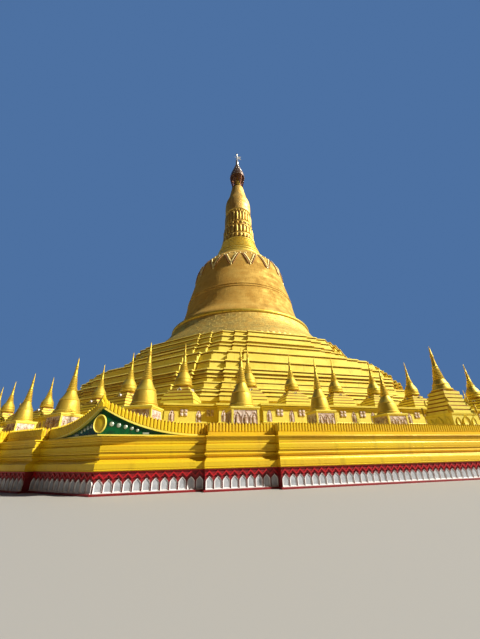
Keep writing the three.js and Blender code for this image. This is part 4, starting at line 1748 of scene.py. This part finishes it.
    def neck_shape(self) -> Shape:
        """Neck drawn in by rings that grow finer upward, with a groove between them painted dark as
        painted shade.
        """
        curve = by_height(curve_through(self.neck, 4))
        points = []
        for start, end in zip(self.neck_lines, self.neck_lines[1:]):
            deep = value_at(curve, start) - self.groove_deep
            foot = start + self.groove
            points += [(deep, start), (deep, foot)]
            for i in range(1, self.ring_steps):
                share = i / self.ring_steps
                up = foot + (end - foot) * share
                bulge = self.ring_bulge * math.sin(math.pi * share) ** self.ring_fullness
                points.append((value_at(curve, up) + bulge, up))
        return Shape().turned([*points, self.neck[-1]], self.neck_steps).tinted(self.in_groove)

    def in_groove(self, face: bmesh.types.BMFace) -> bool:
        """True for a face of the neck that lies in a groove, which gets painted shade."""
        up = face.calc_center_median().z / M
        return any(line < up < line + self.groove for line in self.neck_lines)

    def petals(self, count: int, width: float, tall: float, out: float, up: float, down: bool) -> Shape:
        """Ring of long petals.

        Args:
            count: How many.
            width: Width of one.
            tall: Height of one.
            out: Radius of the wall they lie on.
            up: Height of the ring's foot.
            down: True if they point down.

        Returns:
            The ring.
        """
        half = width / 2
        outline = mirrored([
            (half * 0.9, 0), (half, tall * 0.6), (half * 0.7, tall * 0.86), (0, tall),
        ])
        unit = Shape().relief(outline, 0.26, rim=width * 0.22, swell=0.2).mesh("petal")
        place = at(0, out, up)
        if down:
            place = at(0, out, up + tall) @ Matrix.Rotation(math.pi, 4, "Y")
        return Shape().stamped(unit, all_round(count, place, 0.5))

    def beads(self, count: int, radius: float, out: float, up: float) -> Shape:
        """Ring of beads."""
        unit = Shape().ball((radius, radius * 0.8, radius), (0, 0, 0), 2).mesh("bead")
        return Shape().stamped(unit, all_round(count, at(0, out, up)))

    def lotus_lower(self) -> Shape:
        """Lower lotus band: petals down, petals up and a band of beads."""
        wall = [
            (5.4, 67.5), (5.5, 67.6), (5.35, 67.72), (5.15, 67.85), (5.1, 69.5), (5.3, 69.65),
            (5.3, 69.95), (5.1, 70.1), (4.9, 70.25), (4.7, 73.6), (4.95, 73.75), (4.95, 73.95),
            (4.75, 74.1), (4.6, 74.25), (4.6, 75.2), (4.8, 75.3), (4.8, 75.5),
        ]
        shape = self.recessed(wall)
        shape.joined(self.petals(24, 1.12, 1.5, 5.12, 67.95, True))
        shape.joined(self.petals(24, 1.06, 3.15, 4.82, 70.35, False))
        return shape.joined(self.beads(18, 0.5, 4.62, 74.72))

    def recessed(self, wall: Sequence[Point]) -> Shape:
        """Wall of a lotus band; where it stands upright behind the petals it takes the second finish,
        which is painted shade.
        """
        return Shape().turned(wall, self.band_steps).tinted(
            lambda face: abs(face.normal.z) < 0.3 and face.calc_area() > 0.3 * M * M
        )

    def lotus_upper(self) -> Shape:
        """Upper lotus band: long petals between two lines."""
        wall = [
            (4.75, 75.5), (4.75, 75.65), (4.5, 75.8), (4.4, 76.0), (4.3, 80.1), (4.45, 80.25),
            (4.45, 80.35), (4.3, 80.45), (4.3, 81.05), (4.5, 81.2), (4.6, 81.4), (4.5, 81.6),
            (4.5, 81.7),
        ]
        shape = self.recessed(wall)
        shape.joined(self.petals(26, 0.9, 4.1, 4.32, 75.95, False))
        return shape.joined(self.beads(30, 0.3, 4.35, 80.75))


@dataclass
class Crown(Assembly):
    """Umbrella with its cap, the finial rod and the vane."""

    steps: int = 32
    rod_steps: int = 24
    ribs: int = 16
    cage_rings: tuple[float, ...] = (95.7, 97.2, 98.6, 100.0, 101.25)
    cage: tuple[Point, ...] = (
        (2.1, 95.4), (2.0, 97.0), (2.1, 98.0), (2.32, 99.0), (2.55, 100.0), (2.7, 101.0), (2.75, 101.4),
    )
    tier_edges: tuple[Point, ...] = (
        (2.9, 101.4), (2.78, 102.5), (2.48, 103.7), (2.02, 105.0), (1.6, 106.2), (1.25, 107.2),
        (0.95, 108.1), (0.68, 108.9),
    )

    def build(self) -> None:
        """Makes the crown."""
        for name, shape, finishes, nodes, body in (
            ("umbrella_cage", self.cage_shape(), [RED_BRONZE], ["umbrella_frame"], Body.STUPA),
            ("umbrella_core", self.core(), [CAST_GILT], [], Body.STUPA),
            ("umbrella_tiers", self.tiers(), [CAP_PAINTED_SHADE_SILVER, SILVER], ["umbrella_cap"], Body.STUPA),
            ("finial_mast", self.rod(), [SILVER], ["finial_rod"], Body.STUPA),
            ("vane_pennant", self.vane(), [VANE_SILVER], ["vane"], Body.VANE),
        ):
            self.place(name, shape, finishes, nodes, body, round_below=40)

    def cage_shape(self) -> Shape:
        """Openwork of rings and upright ribs."""
        shape, rib = Shape(), Shape()
        for up in self.cage_rings:
            radius = value_at(by_height(self.cage), up)
            shape.hoop([
                (radius - 0.12, up - 0.09), (radius, up - 0.1), (radius + 0.06, up),
                (radius, up + 0.1), (radius - 0.12, up + 0.09),
            ], self.steps)
        for (r0, z0), (r1, z1) in zip(self.cage, self.cage[1:]):
            rib.block((-0.06, 0.06), (min(r0, r1) - 0.1, max(r0, r1) - 0.01), (z0, z1))
        return shape.stamped(rib.mesh("rib"), all_round(self.ribs))

    def core(self) -> Shape:
        """Cone that goes on from the bud inside the openwork, with the post it carries."""
        return Shape().turned([
            (2.0, 95.4), (1.8, 96.2), (1.5, 97.1), (1.15, 98.0), (0.85, 98.9), (0.6, 99.6),
            (0.7, 99.75), (0.6, 99.9), (0.4, 100.3), (0.38, 101.4),
        ], self.rod_steps)

    def tiers(self) -> Shape:
        """Stepped cap with a bright lip and a fringe of small bells on each tier; the slopes are toned
        brown as painted shade.
        """
        levels = [*self.tier_edges, (0.44, 109.45)]
        shape, bright = Shape(), Shape()
        bell = Shape().ball((0.08, 0.08, 0.13), (0, 0, 0)).mesh("small_bell")
        for (radius, up), (inner, above) in zip(levels, levels[1:]):
            shape.turned([
                (radius - 0.08, up), (radius - 0.04, up + 0.22), (inner + 0.02, above - 0.1),
                (inner - 0.06, above),
            ], self.steps)
            bright.hoop([
                (radius - 0.08, up + 0.04), (radius, up + 0.04), (radius, up + 0.16),
                (radius - 0.08, up + 0.16),
            ], self.steps)
            count = 12 + round(radius * 6)
            bright.stamped(bell, all_round(count, at(0, radius - 0.02, up - 0.08)))
        shape.turned([(0.38, 109.4), (0.46, 109.48), (0.46, 109.6)], self.rod_steps)
        return shape.joined(bright.tinted())

    def rod(self) -> Shape:
        """Spindle, rod with its shoulder and the bud at the tip."""
        return Shape().turned([
            (0.42, 109.6), (0.5, 109.9), (0.56, 110.3), (0.56, 110.8), (0.5, 111.5), (0.4, 112.2),
            (0.3, 112.7), (0.26, 112.897), (0.13, 112.897), (0.13, 115.3), (0.2, 115.36),
            (0.36, 115.52), (0.42, 115.68), (0.4, 115.85), (0.32, 116.02), (0.2, 116.25),
            (0.08, 116.45), (0.0, 116.6),
        ], self.rod_steps)

    def vane(self) -> Shape:
        """Collar, swallow-tailed pennant and short pointer, raised along their borders."""
        collar = [
            (0.144, 112.9), (0.24, 112.9), (0.26, 112.98), (0.24, 113.06), (0.2, 113.2),
            (0.2, 114.8), (0.24, 114.94), (0.26, 115.02), (0.24, 115.1), (0.144, 115.1),
        ]
        shape = Shape().hoop(collar, self.rod_steps)
        pennant = [(0.18, 113.2), (1.9, 113.05), (1.3, 114.0), (1.9, 114.95), (0.18, 114.8)]
        pointer = [(-0.18, 114.25), (-1.3, 114.0), (-0.18, 113.75)]
        for outline, rim in ((pennant, 0.12), (pointer, 0.06)):
            half = Shape().relief(outline, 0.025, rim=rim, swell=-0.008)
            shape.joined(half.doubled(Matrix.Diagonal((1, -1, 1, 1))))
        return shape


@dataclass
class Studio:
    """Floor, lights, plain surroundings and the camera at the photograph's viewing angle."""

    distance: float = 81.5234
    azimuth: float = -15.771
    eye: float = 1.6935
    pitch: float = 25.0557
    roll: float = -1.1121
    focal: float = 292.709
    picture_tall: float = 639.0
    sensor: float = 36.0
    sun_azimuth: float = 60.0
    sun_height: float = 36.0
    sun_power: float = 6.2
    sun_width: float = 2.5
    sun_colour: Triple = (1.0, 0.97, 0.86)
    sky_front: Colour = (0.056, 0.042, 0.032, 1)
    sky_behind: Colour = (0.074, 0.165, 0.36, 1)
    behind: Triple = (0.27, 0.93, 0.25)
    # Floor colours: a pale painted pool of light round the building, darker far off.
    floor_painted_pool: Colour = (0.42, 0.40, 0.37, 1)
    floor_painted_falloff: Colour = (0.13, 0.13, 0.13, 1)
    floor_size: float = 300.0
    floor_near: float = 88.0
    floor_far: float = 240.0

    def build(self) -> None:
        """Makes the studio."""
        self.floor()
        self.sun()
        self.surroundings()
        self.camera()
        bpy.context.scene.view_settings.view_transform = "Standard"

    def floor(self) -> None:
        """Plain floor, pale round the building and darker far off: a painted pool of light."""
        shape = Shape()
        bmesh.ops.create_grid(shape.bm, x_segments=1, y_segments=1, size=self.floor_size * M)
        plane = placed("studio_floor", shape.mesh("studio_floor"))
        material = bpy.data.materials.new("floor_paint")
        graph = Graph(material)
        away = graph.node("ShaderNodeVectorMath", {"operation": "LENGTH"}, {0: graph.here()}, "Value")
        share = away.between(self.floor_near * M, self.floor_far * M)
        colour = graph.mixed(share, self.floor_painted_pool, self.floor_painted_falloff)
        graph.surface({"Base Color": colour, "Roughness": 0.8})
        plane.data.materials.append(material)

    def sun(self) -> None:
        """Key light from the right, behind the camera."""
        light = bpy.data.lights.new("key", "SUN")
        light.energy = self.sun_power
        light.angle = math.radians(self.sun_width)
        light.color = self.sun_colour
        lamp = placed("key", light)
        turn, tilt = math.radians(self.sun_azimuth), math.radians(self.sun_height)
        level = math.cos(tilt)
        toward = Vector((math.sin(turn) * level, -math.cos(turn) * level, math.sin(tilt)))
        lamp.rotation_mode = "QUATERNION"
        lamp.rotation_quaternion = toward.to_track_quat("Z", "Y")

    def surroundings(self) -> None:
        """Dim warm light from in front and a cool plain backdrop behind the building."""
        world = bpy.data.worlds.new("surroundings")
        graph = Graph(world, "ShaderNodeOutputWorld")
        here = graph.node("ShaderNodeTexCoord", {}, {}, "Generated")
        settings = {"operation": "DOT_PRODUCT"}
        facing = graph.node("ShaderNodeVectorMath", settings, {0: here, 1: self.behind}, "Value")
        colour = graph.mixed(facing.between(0.0, 0.5), self.sky_front, self.sky_behind)
        graph.ended(graph.node("ShaderNodeBackground", {}, {"Color": colour}))
        bpy.context.scene.world = world

    def camera(self) -> None:
        """Camera low in front, tilted up to the finial."""
        data = bpy.data.cameras.new("camera")
        data.sensor_width = self.sensor
        data.lens = self.focal / self.picture_tall * self.sensor
        data.clip_start, data.clip_end = 0.01, 200.0
        camera = placed("camera", data)
        turn = math.radians(self.azimuth)
        level = Matrix.Rotation(math.radians(90 + self.pitch), 4, "X")
        tilt = Matrix.Rotation(math.radians(self.roll), 4, "Z")
        camera.matrix_world = about_z(turn) @ at(0, self.distance, self.eye) @ level @ tilt
        bpy.context.scene.camera = camera


def main() -> None:
    """Builds the stupa from the ground up, then the studio."""
    logging.basicConfig(level=logging.INFO, format="%(name)s %(message)s")
    for assembly in (
        Plinth(), Parapet(), SmallStupas(), SecondWall(), Terraces(), RoundBody(), Crown(), Studio(),
    ):
        LOG.info("building %s", type(assembly).__name__)
        assembly.build()


if __name__ == "__main__":
    main()
